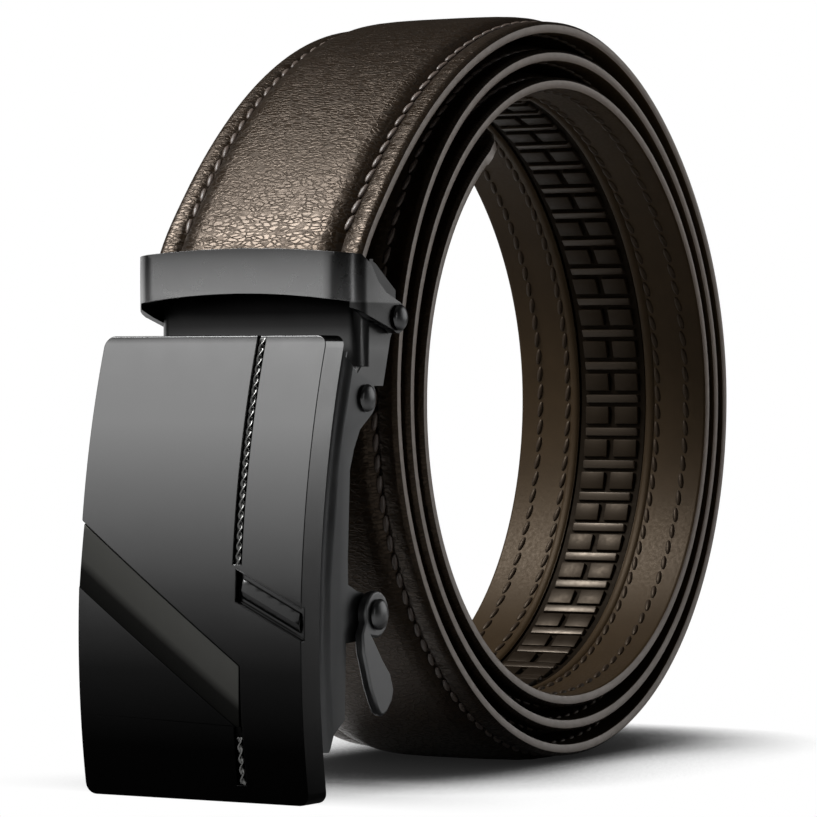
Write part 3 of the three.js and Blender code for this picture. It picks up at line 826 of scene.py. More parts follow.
@dataclass
class Strap:
    """The padded leather strap with its stitching and the welts around its track."""

    path: CoilPath
    width: float = 35.0 * MM
    stitch_inset: float = 3.7 * MM
    stitch_depth: float = 0.35 * MM
    tail_corner: float = 10.0 * MM
    edge_round: float = 0.45 * MM
    paint_height: float = 1.5 * MM
    column: float = 1.9 * MM
    stitch_pitch: float = 3.0 * MM
    stitch_half: float = 1.38 * MM
    stitch_turn: float = 11.0
    seam_start: float = 7.0 * MM
    thread: float = 0.5 * MM
    track_recess: float = 1.2 * MM
    track_half: float = 6.3 * MM
    track_seam: float = 8.5 * MM
    welt: float = 0.85 * MM
    welt_height: float = 0.42 * MM
    welt_lift: float = 0.1 * MM
    border_stitch: tuple[float, float, float] = (0.3 * MM, 1.25 * MM, 0.25 * MM)
    border_count: int = 5
    border_sunk: float = 0.02 * MM
    floor_gap: float = 0.05 * MM

    def rows(self) -> list[tuple[float, float]]:
        """The outer side's form across the strap.

        Returns:
            Distance from the middle and height of each row of the mesh on one side.
        """
        half, edge, crown = self.width / 2, self.path.edge, self.path.crown
        groove = half - self.stitch_inset
        pad = crown - edge
        return [
            (0.0, crown), (0.14 * half, crown), (0.27 * half, edge + 0.99 * pad),
            (self.track_half, edge + 0.97 * pad), (0.48 * half, edge + 0.93 * pad),
            (0.6 * half, edge + 0.84 * pad), (0.67 * half, edge + 0.72 * pad),
            (groove - 1.1 * MM, edge + 0.5 * pad), (groove - 0.5 * MM, edge + 0.05 * pad),
            (groove, edge - self.stitch_depth), (groove + 0.5 * MM, edge - 0.05 * MM),
            (groove + 1.1 * MM, edge + 0.12 * MM), (half - 1.3 * MM, edge + 0.1 * MM),
            (half - 0.5 * MM, edge), (half, edge - self.edge_round),
        ]

    def panel(self) -> bpy.types.Object:
        """Cut, crown and close the strap on the bench.

        Returns:
            The flat strap with its outer side up and its track recess pressed into the back.
        """
        length = self.path.length_to(self.path.tail)
        rows = self.rows()
        columns = round(length / self.column)
        bpy.ops.mesh.primitive_grid_add(
            x_subdivisions=columns, y_subdivisions=2 * len(rows) - 2, size=1)
        panel = name_it("leather_strap")
        count = len(rows) - 1
        half = self.width / 2
        corner = self.tail_corner

        def crowned(co: Vector) -> Vector:
            along = (co.x + 0.5) * length
            left = length - along
            if left < corner:
                left = corner * (1 - math.cos(0.5 * math.pi * left / corner))
                along = length - left
            row = round(co.y * 2 * count)
            across, height = rows[abs(row)]
            share = 1.0
            if left < corner:
                inset = corner - math.sqrt(corner ** 2 - (corner - left) ** 2)
                share = (half - inset) / half
            return Vector((along, math.copysign(across * share, row), height))

        shape(panel, crowned)
        self.close_back(panel)
        self.press_recess(panel)
        self.map_surface(panel)
        return panel

    def close_back(self, panel: bpy.types.Object) -> None:
        """Extrude the outer side down to a flat back with rounded edges.

        Args:
            panel: The crowned sheet.
        """
        pick_faces(panel, lambda face: True)
        below = -self.path.crown - MM
        bpy.ops.mesh.extrude_region_move(TRANSFORM_OT_translate={"value": (0, 0, below)})
        bpy.ops.transform.resize(value=(1, 1, 0), center_override=(0, 0, 0))
        bpy.ops.mesh.select_all(action="SELECT")
        bpy.ops.mesh.normals_make_consistent(inside=False)
        bpy.ops.object.mode_set(mode="OBJECT")
        half = self.width / 2

        def back_corner(first: Vector, second: Vector) -> bool:
            return all(abs(co.z) < HAIR and abs(co.y) > half - HAIR for co in (first, second))

        pick_edges(panel, back_corner)
        bpy.ops.mesh.bevel(offset=self.edge_round, segments=2, affect="EDGES")
        bpy.ops.object.mode_set(mode="OBJECT")

    def press_recess(self, panel: bpy.types.Object) -> None:
        """Press the track's recess into the back.

        Args:
            panel: The closed strap.
        """
        start = self.path.length_to(self.path.track_start)
        end = self.path.length_to(self.path.track_end)

        def under_track(face: bpy.types.MeshPolygon) -> bool:
            co = face.center
            return face.normal.z < -0.9 and abs(co.y) < self.track_half and start < co.x < end

        pick_faces(panel, under_track)
        bpy.ops.mesh.extrude_region_move(
            TRANSFORM_OT_translate={"value": (0, 0, self.track_recess)})
        bpy.ops.object.mode_set(mode="OBJECT")

    def map_surface(self, panel: bpy.types.Object) -> None:
        """Lay the UV map on in metres and sort the faces by finish.

        Args:
            panel: The flat strap.
        """
        half = self.width / 2
        layer = panel.data.uv_layers.active or panel.data.uv_layers.new(name="flat")
        for face in panel.data.polygons:
            side = abs(face.normal.y) > 0.6 and abs(face.center.y) > 0.4 * half
            end = abs(face.normal.x) > 0.6
            for loop in face.loop_indices:
                co = panel.data.vertices[panel.data.loops[loop].vertex_index].co
                across = co.z if side else co.y
                layer.data[loop].uv = (co.z if end else co.x, across)
            low = face.center.z < self.paint_height
            if (side and low) or end:
                face.material_index = 1
            else:
                face.material_index = 2 if face.normal.z < 0 else 0

    def stitch_row(
        self, name: str, start: float, end: float, across: float, height: float,
    ) -> bpy.types.Object:
        """Sew one row of stitches along the flat strap.

        Args:
            name: The row's name.
            start: Where it starts along the strap.
            end: Where it ends.
            across: Its distance from the strap's middle.
            height: The thread's height.

        Returns:
            The joined stitches.
        """
        bpy.ops.mesh.primitive_uv_sphere_add(segments=8, ring_count=6, radius=1)
        row = name_it(name)
        row.rotation_euler = (0, math.pi / 2, 0)
        settle(row)
        row.scale = (self.stitch_half, self.thread, 0.8 * self.thread)
        row.rotation_euler = (0, 0, math.copysign(math.radians(self.stitch_turn), across))
        settle(row)
        row.location = (start + self.stitch_pitch / 2, across, height)
        settle(row)
        apply_modifier(
            row, "ARRAY", count=max(1, int((end - start) / self.stitch_pitch)),
            use_relative_offset=False, use_constant_offset=True,
            constant_offset_displace=(self.stitch_pitch, 0, 0))
        return row

    def border(self) -> bpy.types.Object:
        """Sew the short rows across both ends of the track.

        Returns:
            The joined stitches.
        """
        beyond = self.track_seam - self.track_half
        start = self.path.length_to(self.path.track_start) - beyond
        end = self.path.length_to(self.path.track_end) + beyond
        first = -(self.border_count - 1) / 2 * self.stitch_pitch
        rows = []
        for number, along in enumerate((start, end)):
            bpy.ops.mesh.primitive_uv_sphere_add(segments=6, ring_count=6, radius=1)
            row = name_it(f"border_{number}")
            row.scale = self.border_stitch
            settle(row)
            row.location = (along, first, -self.border_sunk)
            settle(row)
            apply_modifier(
                row, "ARRAY", count=self.border_count, use_relative_offset=False,
                use_constant_offset=True, constant_offset_displace=(0, self.stitch_pitch, 0))
            rows.append(row)
        return join_pieces(rows)

    def welts(self) -> bpy.types.Object:
        """Raise the rounded welt of the lining around the track.

        Returns:
            The four joined welts, flat.
        """
        start = self.path.length_to(self.path.track_start)
        end = self.path.length_to(self.path.track_end)
        middle = self.track_half + self.welt
        sides = [
            (start - 2 * self.welt, end + 2 * self.welt, side * middle, side * middle)
            for side in (-1, 1)]
        ends = [
            (start - self.welt, start - self.welt, -middle, middle),
            (end + self.welt, end + self.welt, -middle, middle)]
        pieces = []
        for x0, x1, y0, y1 in sides + ends:
            length = math.hypot(x1 - x0, y1 - y0)
            steps = max(2, round(length / self.column))
            bpy.ops.mesh.primitive_cylinder_add(vertices=10, radius=1, depth=1)
            welt = name_it("welt")
            pick_edges(welt, lambda a, b: abs(a.z - b.z) > 0.5)
            bpy.ops.mesh.subdivide(number_cuts=steps - 1)
            bpy.ops.object.mode_set(mode="OBJECT")
            welt.rotation_euler = (0, math.pi / 2, math.atan2(y1 - y0, x1 - x0))
            welt.scale = (self.welt_height, self.welt, length)
            welt.location = ((x0 + x1) / 2, (y0 + y1) / 2, self.welt_lift)
            pieces.append(settle(welt))
        return join_pieces(pieces)

    def build(
        self, leather: bpy.types.Material, paint: bpy.types.Material, lining: bpy.types.Material,
        thread: bpy.types.Material, back_thread: bpy.types.Material,
    ) -> None:
        """Make the strap, its stitching and its welts and roll them up.

        Args:
            leather: Finish of the outer side.
            paint: Finish of the edges.
            lining: Finish of the back.
            thread: Finish of the stitches on the outer side.
            back_thread: Finish of the stitches on the back.
        """
        panel = self.path.roll_up(self.panel())
        shape(panel, lambda co: Vector((co.x, co.y, max(co.z, 0.0))))
        smooth(panel, 40)
        finish_piece(panel, Body.BELT, [leather, paint, lining], ["strap"])
        length = self.path.length_to(self.path.tail)
        seam = self.width / 2 - self.stitch_inset
        top = self.path.edge - 0.25 * self.stitch_depth
        long = self.seam_start, length - self.tail_corner
        track = [self.path.length_to(end) for end in (self.path.track_start, self.path.track_end)]
        rows = [
            self.stitch_row("seam_right", *long, seam, top),
            self.stitch_row("seam_left", *long, -seam, top),
            self.stitch_row("back_seam_right", *long, seam, 0.0),
            self.stitch_row("back_seam_left", *long, -seam, 0.0),
            self.stitch_row("track_seam_right", *track, self.track_seam, 0.0),
            self.stitch_row("track_seam_left", *track, -self.track_seam, 0.0),
            self.border(),
        ]
        welts = self.path.roll_up(self.welts())
        welts.name = "track_welts"
        smooth(welts, 50)
        finish_piece(welts, Body.BELT, [lining])
        stitches = join_pieces(rows)
        stitches.name = "strap_stitches"
        for face in stitches.data.polygons:
            face.material_index = 1 if face.center.z < self.path.edge / 2 else 0
        self.path.roll_up(stitches)
        shape(stitches, lambda co: Vector((co.x, co.y, max(co.z, self.floor_gap))))
        smooth(stitches, 60)
        finish_piece(stitches, Body.BELT, [thread, back_thread])


@dataclass
class Track:
    """The moulded ratchet track."""

    path: CoilPath
    width: float = 12.0 * MM
    recess: float = 1.2 * MM
    base: float = 0.6 * MM
    tooth: float = 0.6 * MM
    pitch: float = 5.5 * MM
    clearance: float = 0.3 * MM
    teeth_width: float = 10.2 * MM
    bar: float = 1.35 * MM
    bar_room: float = 1.5 * MM
    block_length: float = 2.9 * MM
    block_share: float = 0.45
    block_place: float = 0.27
    sunk: float = 0.2 * MM
    slope_rise: float = 0.25 * MM
    taper: float = 0.94
    ease: float = 0.14 * MM
    slack: float = 0.02 * MM

    def block(
        self, name: str, centre: tuple[float, float], size: tuple[float, float],
    ) -> bpy.types.Object:
        """One raised block of a tooth, with eased edges and a sloping top.

        Args:
            name: Its name.
            centre: Its middle along and across the track.
            size: Its length and width.

        Returns:
            The block.
        """
        height = self.tooth + self.sunk
        low = self.recess - self.clearance - self.base + self.sunk - height
        bpy.ops.mesh.primitive_cube_add(size=1)
        piece = name_it(name)
        piece.scale = (*size, height)
        settle(piece)
        slope = self.slope_rise / size[0]

        def sloped(co: Vector) -> Vector:
            if co.z < 0:
                return Vector((co.x, self.taper * co.y, co.z + slope * co.x))
            return co

        shape(piece, sloped)
        apply_modifier(piece, "BEVEL", width=self.ease, segments=2)
        piece.location = (*centre, low + height / 2)
        return settle(piece)

    def sort_faces(self, track: bpy.types.Object, start: float, pitch: float) -> None:
        """Tell the flat track's bars, blocks and floor apart.

        Args:
            track: The flat track.
            start: Where its first tooth starts.
            pitch: Length of a tooth.
        """
        floor = self.recess - self.clearance - self.base
        for face in track.data.polygons:
            along = (face.center.x - start) % pitch
            if face.center.z > floor - self.slack:
                face.material_index = 2
            else:
                face.material_index = 0 if along < self.bar_room else 1

    def build(self, plastics: Sequence[bpy.types.Material]) -> None:
        """Mould the track flat and roll it up.

        Args:
            plastics: Finishes of its bars, its blocks and its floor; the bars carry a painted highlight
                and the floor painted shade.
        """
        start = self.path.length_to(self.path.track_start) + self.clearance
        length = self.path.length_to(self.path.track_end) - self.clearance - start
        teeth = int(length / self.pitch)
        pitch = length / teeth
        bar = self.block(
            "tooth_bar", (start + self.bar_room / 2, 0), (self.bar, self.teeth_width))
        middle = start + (pitch + self.bar_room) / 2
        size = (self.block_length, self.block_share * self.teeth_width)
        blocks = [
            self.block(f"tooth_block_{side}", (middle, side * self.block_place * self.teeth_width), size)
            for side in (-1, 1)
        ]
        teeth_strip = join_pieces([bar, *blocks])
        apply_modifier(
            teeth_strip, "ARRAY", count=teeth, use_relative_offset=False, use_constant_offset=True,
            constant_offset_displace=(pitch, 0, 0))
        bpy.ops.mesh.primitive_grid_add(x_subdivisions=3 * teeth, y_subdivisions=1, size=1)
        strip = name_it("track_strip")
        strip.scale = (length, self.width, 1)
        strip.location = (start + length / 2, 0, self.recess - self.clearance - self.base)
        settle(strip)
        apply_modifier(strip, "SOLIDIFY", thickness=self.base, offset=1)
        track = join_pieces([teeth_strip, strip])
        track.name = "moulded_track"
        self.sort_faces(track, start, pitch)
        self.path.roll_up(track)
        smooth(track, 35)
        finish_piece(track, Body.BELT, plastics, ["ratchet_track"])


# Metalwork


def ease_edges(piece: bpy.types.Object, width: float, segments: int = 2, angle: float = 38) -> None:
    """Bevel the sharp edges and keep the faces between them flat in shading.

    Args:
        piece: The object to ease.
        width: Width of the eased edges.
        segments: Steps across an eased edge.
        angle: Edges sharper than this, in degrees, are eased.
    """
    smooth(piece, angle)
    apply_modifier(
        piece, "BEVEL", width=width, segments=segments, limit_method="ANGLE",
        angle_limit=math.radians(angle), use_clamp_overlap=True, harden_normals=True)


def merged_copy(node: str, name: str) -> bpy.types.Object:
    """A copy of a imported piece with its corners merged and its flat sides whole.

    Args:
        node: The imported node.
        name: The copy's name.

    Returns:
        The copy.
    """
    piece = bpy.data.objects.new(name, bpy.data.objects[node].data.copy())
    bpy.context.scene.collection.objects.link(piece)
    activate(piece)
    bpy.ops.object.mode_set(mode="EDIT")
    bpy.ops.mesh.select_all(action="SELECT")
    bpy.ops.mesh.remove_doubles(threshold=WELD)
    bpy.ops.mesh.dissolve_limited(angle_limit=math.radians(1))
    bpy.ops.object.mode_set(mode="OBJECT")
    return piece


def eased_copy(
    node: str, name: str, width: float, segments: int = 2, angle: float = 38,
) -> bpy.types.Object:
    """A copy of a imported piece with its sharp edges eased.

    Args:
        node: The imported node.
        name: The copy's name.
        width: Width of the eased edges.
        segments: Steps across an eased edge.
        angle: Edges sharper than this, in degrees, are eased.

    Returns:
        The copy.
    """
    piece = merged_copy(node, name)
    ease_edges(piece, width, segments, angle)
    return piece


@dataclass
class Rivet:
    """A pin with a low domed head at each end."""

    node: str
    name: str
    body: Body
    shaft: float
    head: float
    height: float = 0.8 * MM
    dome_steps: int = 7
    round_steps: int = 40

    def build(self, steel: bpy.types.Material) -> None:
        """Turn the pin on its axis.

        Args:
            steel: Its finish.
        """
        low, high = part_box(self.node)
        axis = (low + high) / 2
        left, right = low.x + self.height, high.x - self.height
        profile = [(low.x, 0.0)]
        for i in range(1, self.dome_steps + 1):
            turn = 0.5 * math.pi * i / self.dome_steps
            profile.append((left - self.height * math.cos(turn), self.head * math.sin(turn)))
        profile += [(left, self.shaft), (right, self.shaft)]
        for i in range(self.dome_steps, 0, -1):
            turn = 0.5 * math.pi * i / self.dome_steps
            profile.append((right + self.height * math.cos(turn), self.head * math.sin(turn)))
        profile.append((high.x, 0.0))
        mesh = bpy.data.meshes.new(self.name)
        mesh.from_pydata(
            [(x, axis.y, axis.z + r) for x, r in profile],
            [(i, i + 1) for i in range(len(profile) - 1)], [])
        pin = bpy.data.objects.new(self.name, mesh)
        bpy.context.scene.collection.objects.link(pin)
        activate(pin)
        bpy.ops.object.mode_set(mode="EDIT")
        bpy.ops.mesh.select_all(action="SELECT")
        bpy.ops.mesh.spin(
            steps=self.round_steps, angle=2 * math.pi, center=axis, axis=(1, 0, 0),
            use_auto_merge=True)
        bpy.ops.mesh.select_all(action="SELECT")
        bpy.ops.mesh.remove_doubles(threshold=WELD)
        bpy.ops.mesh.normals_make_consistent(inside=False)
        bpy.ops.object.mode_set(mode="OBJECT")
        smooth(pin, 40)
        finish_piece(pin, self.body, [steel], [self.node])


@dataclass
class Buckle:
    """The clip, the jaw, the buckle's body and its lever, each with its pin."""

    ease: float = 0.22 * MM
    band_height: float = 7.7 * MM
    band_depth: float = 4.2 * MM
    band_slices: int = 9
    bow: float = 0.12 * MM
    draw: float = 0.13

    def clip(
        self, metal: bpy.types.Material, shaded: bpy.types.Material, steel: bpy.types.Material,
    ) -> None:
        """Make the clip channel, the clamp jaw and the jaw's pin.

        Args:
            metal: Finish of the channel, with painted shade under the jaw and a painted highlight strip.
            shaded: Finish of the jaw, with painted reflection and shade.
            steel: Finish of the pin.
        """
        channel = eased_copy("clip_channel", "clip_channel_eased", self.ease)
        finish_piece(channel, Body.BELT, [metal], ["clip_channel"])
        jaw = merged_copy("clamp_jaw", "clamp_jaw_eased")
        self.bow_band(jaw)
        ease_edges(jaw, 1.3 * self.ease, 3)
        finish_piece(jaw, Body.BELT, [shaded], ["clamp_jaw"])
        Rivet("jaw_pin", "jaw_rivet", Body.BELT, shaft=0.9 * MM, head=1.9 * MM).build(steel)

    def bow_band(self, jaw: bpy.types.Object) -> None:
        """Bow the front of the jaw's band slightly, and draw its lower edge down in the middle.

        Args:
            jaw: The jaw.
        """
        low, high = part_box("clamp_jaw")
        foot = high.z - self.band_height
        middle = (high.z + foot) / 2
        half = (high.x - low.x) / 2
        pick_faces(jaw, lambda face: True)
        for i in range(self.band_slices):
            bpy.ops.mesh.select_all(action="SELECT")
            height = foot + (high.z - foot) * (i + 0.5) / self.band_slices
            bpy.ops.mesh.bisect(plane_co=(0, 0, height), plane_no=(0, 0, 1))
        bpy.ops.object.mode_set(mode="OBJECT")

        def bowed(co: Vector) -> Vector:
            if co.y > low.y + self.band_depth:
                return co
            share = 1 - (co.y - low.y) / self.band_depth
            off = min(1.0, abs(co.z - middle) / (0.5 * self.band_height))
            near = max(0.0, math.cos(0.5 * math.pi * co.x / half))
            drawn = high.z - (high.z - co.z) * (1 + self.draw * near)
            return Vector((co.x, co.y + share * self.bow * off * off, drawn))

        shape(jaw, bowed)

    def case(self, metal: bpy.types.Material, steel: bpy.types.Material) -> None:
        """Make the buckle's body and its hinge pin.

        Args:
            metal: Finish of the body.
            steel: Finish of the pin.
        """
        body = eased_copy("buckle_body", "buckle_body_eased", self.ease)
        finish_piece(body, Body.BUCKLE, [metal], ["buckle_body"])
        Rivet("hinge_pin", "hinge_rivet", Body.BUCKLE, shaft=1.2 * MM, head=2.0 * MM).build(steel)

    def lever(self, metal: bpy.types.Material, steel: bpy.types.Material) -> None:
        """Make the release lever, its shaft and the pawl.

        Args:
            metal: Finish of the lever.
            steel: Finish of the shaft and the pawl.
        """
        lever = eased_copy("release_lever", "release_lever_eased", 2 * self.ease, 3)
        finish_piece(lever, Body.LEVER, [metal], ["release_lever"])
        Rivet("lever_shaft", "lever_rivet", Body.LEVER, shaft=1.2 * MM, head=2.25 * MM).build(steel)
        pawl = eased_copy("pawl", "pawl_eased", self.ease)
        finish_piece(pawl, Body.LEVER, [steel], ["pawl"])


@dataclass
class FacePlate:
    """The arched face with its relief and inlaid cords.

    It is cut flat, front side at Y 0 and heights counted from the hinge, and bent to the arch last.
    """

    curve: float = 130.0 * MM
    reach: float = 17.4 * MM
    apex: float = 33.6 * MM
    rim: float = 5.1 * MM
    skin: float = 2.2 * MM
    corner: float = 1.6 * MM
    bend_step: float = 0.9 * MM
    ease: float = 0.17 * MM
    rope_x: float = 8.0 * MM
    rope_groove: float = 1.4 * MM
    rope_depth: float = 0.7 * MM
    rope_spans: tuple[tuple[float, float], ...] = ((-23.4 * MM, 12.0 * MM), (-54.6 * MM, -46.3 * MM))
    strand: float = 0.26 * MM
    strand_apart: float = 0.23 * MM
    lay: float = 3.0 * MM
    lay_steps: int = 14
    rope_sunk: float = 0.36 * MM
    rope_flatness: float = 0.75
    proud: float = 2.0 * MM
    window_left: float = 7.9 * MM
    window_right: float = 21.0 * MM  # past the plate's side
    window_top: float = -24.0 * MM
    window_foot: float = -28.6 * MM
    window_slope: float = -0.481
    window_depth: float = 0.95 * MM
    bar_left: float = 8.75 * MM
    bar_right: float = 18.3 * MM
    bar_middle: float = -26.35 * MM
    bar_ridge: tuple[float, float] = (0.1 * MM, -0.25 * MM)
    bar_foot_depth: float = 0.62 * MM
    bar_up: float = 1.35 * MM
    bar_down: float = 1.45 * MM
    bar_thickness: float = 0.6 * MM
    bead: float = 0.17 * MM
    bead_sunk: float = 0.06 * MM
    bead_right: float = 18.75 * MM
    bead_steps: int = 8
    band_slope: float = -0.727
    band_right: tuple[float, float] = (8.6 * MM, -37.6 * MM)
    band_left: float = -20.0 * MM  # past the plate's side
    band_height: float = 9.4 * MM
    band_depth: float = 0.62 * MM
    band_foot_depth: float = 0.12 * MM
    line_width: float = 0.42 * MM
    line_depth: float = 0.85 * MM
    end_line_width: float = 0.45 * MM
    end_line_depth: float = 1.2 * MM
    end_line_foot: float = -46.9 * MM
    paint_slack: float = 0.1 * MM
    paint_depth: float = 0.07 * MM

    def band_plating(self) -> BandPlatingWithPaintedReflection:
        """The slanted band's finish with its painted reflection, which follows its slope and its upper
        edge.
        """
        right, top = self.band_right
        return BandPlatingWithPaintedReflection(self.band_slope, HINGE_Z + top - self.band_slope * right, self.band_height)

    def arch(self, z: float) -> float:
        """How far back the face is at a height above the floor."""
        height = z - HINGE_Z + self.apex
        return HINGE_Y + self.curve - self.reach - math.sqrt(self.curve ** 2 - height ** 2)

    def slab(self) -> bpy.types.Object:
        """Cut the flat plate with rounded corners and a hollow back.

        Returns:
            The plate.
        """
        low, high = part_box("face_plate")
        foot, top = low.z - HINGE_Z, high.z - HINGE_Z
        plate = self.box("arched_face", (low.x, high.x), (0, self.rim), (foot, top))
        pick_edges(plate, lambda a, b: abs(a.x - b.x) + abs(a.z - b.z) < HAIR)
        bpy.ops.mesh.bevel(offset=self.corner, segments=6, affect="EDGES")
        bpy.ops.object.mode_set(mode="OBJECT")
        wall = 2 * self.skin
        self.cut(plate, self.box(
            "hollow", (low.x + self.skin, high.x - self.skin), (self.skin, self.rim + MM),
            (foot + wall, top - wall)))
        return plate

    def box(
        self, name: str, x: tuple[float, float], y: tuple[float, float], z: tuple[float, float],
    ) -> bpy.types.Object:
        """A block between two corners.

        Args:
            name: Its name.
            x: Its ends across.
            y: Its front and back.
            z: Its foot and top.

        Returns:
            The block.
        """
        bpy.ops.mesh.primitive_cube_add(size=1)
        block = name_it(name)
        block.scale = (x[1] - x[0], y[1] - y[0], z[1] - z[0])
        block.location = [(side[0] + side[1]) / 2 for side in (x, y, z)]
        return settle(block)

    def slanted_box(
        self, name: str, x: tuple[float, float], z: tuple[float, float], slope: float, depth: float,
        lower_depth: float | None = None,
    ) -> bpy.types.Object:
        """A block whose top and foot run at a slope.

        Args:
            name: Its name.
            x: Its ends across.
            z: Its foot and top at the first end.
            slope: How they rise along it.
            depth: How deep its top edge goes behind the face.
            lower_depth: How deep its foot goes, if not as deep.

        Returns:
            The block, whose front stands proud of the face.
        """
        block = self.box(name, x, (-self.proud, depth), z)
        foot = depth if lower_depth is None else lower_depth
        middle = (z[0] + z[1]) / 2

        def slant(co: Vector) -> Vector:
            back = co.y if co.y < 0 or co.z > middle else foot
            return Vector((co.x, back, co.z + slope * (co.x - x[0])))

        shape(block, slant)
        return block

    def cut(self, piece: bpy.types.Object, tool: bpy.types.Object) -> None:
        """Cut one solid out of another and put the tool away.

        Args:
            piece: The solid to cut.
            tool: What is cut out of it.
        """
        apply_modifier(piece, "BOOLEAN", object=tool, operation="DIFFERENCE", solver="EXACT")
        bpy.data.objects.remove(tool)

    def carve(self, plate: bpy.types.Object) -> None:
        """Cut the cord grooves, the slanted window and the slanted band.

        Args:
            plate: The flat plate.
        """
        half = self.rope_groove / 2
        across = (self.rope_x - half, self.rope_x + half)
        for span in self.rope_spans:
            self.cut(plate, self.box("cord_groove", across, (-self.proud, self.rope_depth), span))
        self.cut(plate, self.slanted_box(
            "window", (self.window_left, self.window_right), (self.window_foot, self.window_top),
            self.window_slope, self.window_depth))
        right, top = self.band_right
        left = self.band_left
        start = top + self.band_slope * (left - right)
        self.cut(plate, self.slanted_box(
            "band", (left, right), (start - self.band_height, start), self.band_slope,
            self.band_depth, self.band_foot_depth))
        self.cut(plate, self.slanted_box(
            "band_shadow_line", (left, right), (start - self.line_width, start), self.band_slope,
            self.line_depth))
        self.cut(plate, self.box(
            "band_end_line", (right - self.end_line_width, right), (-self.proud, self.end_line_depth),
            (self.end_line_foot, top)))

    def window_bar(self) -> bpy.types.Object:
        """Build the roof-shaped bar that stands in the window.

        Returns:
            The flat bar, with its back on the window's floor.
        """
        bpy.ops.mesh.primitive_grid_add(x_subdivisions=10, y_subdivisions=2, size=1)
        bar = name_it("window_bar")
        ridge_depth, ridge_off = self.bar_ridge

        def roof(co: Vector) -> Vector:
            x = self.bar_left + (co.x + 0.5) * (self.bar_right - self.bar_left)
            middle = self.bar_middle + self.window_slope * (x - self.window_left)
            if abs(co.y) < 0.1:
                return Vector((x, ridge_depth, middle + ridge_off))
            off = self.bar_up if co.y > 0 else -self.bar_down
            return Vector((x, self.bar_foot_depth, middle + off))

        shape(bar, roof)
        pick_faces(bar, lambda face: True)
        bpy.ops.mesh.extrude_region_move(
            TRANSFORM_OT_translate={"value": (0, self.bar_thickness, 0)})
        bpy.ops.mesh.select_all(action="SELECT")
        bpy.ops.mesh.normals_make_consistent(inside=False)
        bpy.ops.object.mode_set(mode="OBJECT")
        return bar

    def window_rim(self) -> bpy.types.Object:
        """Build the thin raised bead around the window.

        Returns:
            The flat bead.
        """
        left, right = self.window_left, self.bead_right
        top, foot = self.window_top, self.window_foot
        fall = self.window_slope * (right - left)
        corners = [(right, top + fall), (left, top), (left, foot), (right, foot + fall)]
        curve = bpy.data.curves.new("window_rim", "CURVE")
        curve.dimensions = "3D"
        curve.bevel_depth = self.bead
        curve.bevel_resolution = 1
        curve.use_fill_caps = True
        spline = curve.splines.new("POLY")
        points = []
        for (x0, z0), (x1, z1) in zip(corners, corners[1:]):
            shares = [i / self.bead_steps for i in range(self.bead_steps)]
            points += [(x0 + (x1 - x0) * share, z0 + (z1 - z0) * share) for share in shares]
        points.append(corners[-1])
        spline.points.add(len(points) - 1)
        for knot, (x, z) in zip(spline.points, points):
            knot.co = (x, self.bead_sunk, z, 1)
        rim = bpy.data.objects.new("window_rim", curve)
        bpy.context.scene.collection.objects.link(rim)
        activate(rim)
        bpy.ops.object.convert(target="MESH")
        return bpy.context.active_object

    def bend(self, plate: bpy.types.Object) -> None:
        """Slice the flat plate into narrow strips and bend it to the arch.

        Args:
            plate: The plate.
        """
        low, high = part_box("face_plate")
        foot, top = low.z - HINGE_Z, high.z - HINGE_Z
        count = round((top - foot) / self.bend_step)
        pick_faces(plate, lambda face: True)
        for i in range(1, count):
            bpy.ops.mesh.select_all(action="SELECT")
            bpy.ops.mesh.bisect(
                plane_co=(0, 0, foot + (top - foot) * i / count), plane_no=(0, 0, 1))
        bpy.ops.object.mode_set(mode="OBJECT")

        def arched(co: Vector) -> Vector:
            z = co.z + HINGE_Z
            return Vector((co.x, co.y + self.arch(z), z))

        shape(plate, arched)

    def paint_band(self, plate: bpy.types.Object) -> None:
        """Give the band's floor its own finish.

        Args:
            plate: The bent plate.
        """
        right, top = self.band_right
        for face in plate.data.polygons:
            x, z = face.center.x, face.center.z - HINGE_Z
            edge = top + self.band_slope * (x - right)
            inside = edge - self.band_height - self.paint_slack < z < edge and x < right
            sunk = face.center.y - self.arch(face.center.z) > self.paint_depth
            face.material_index = 1 if inside and sunk and face.normal.y < -0.8 else 0

    def build(
        self, face: bpy.types.Material, band: bpy.types.Material, cord: bpy.types.Material,
    ) -> None:
        """Make the face plate and its inlaid cords.

        Args:
            face: Finish of the plate, with painted reflection and shade.
            band: Finish of the slanted band, partly a painted reflection.
            cord: Finish of the cords.
        """
        plate = self.slab()
        self.carve(plate)
        apply_modifier(
            plate, "BEVEL", width=self.ease, segments=2, limit_method="ANGLE",
            angle_limit=math.radians(30), use_clamp_overlap=False)
        bar = self.window_bar()
        apply_modifier(
            bar, "BEVEL", width=0.1 * MM, segments=2, limit_method="ANGLE",
            angle_limit=math.radians(25), use_clamp_overlap=True)
        plate = join_pieces([plate, bar, self.window_rim()])
        self.bend(plate)
        self.paint_band(plate)
        smooth(plate, 34)
        apply_modifier(plate, "WEIGHTED_NORMAL", mode="FACE_AREA", weight=100, keep_sharp=True)
        finish_piece(plate, Body.BUCKLE, [face, band], ["face_plate"])
        for node in ("rope_trim_upper", "rope_trim_lower"):
            self.twisted_cord(node, cord)

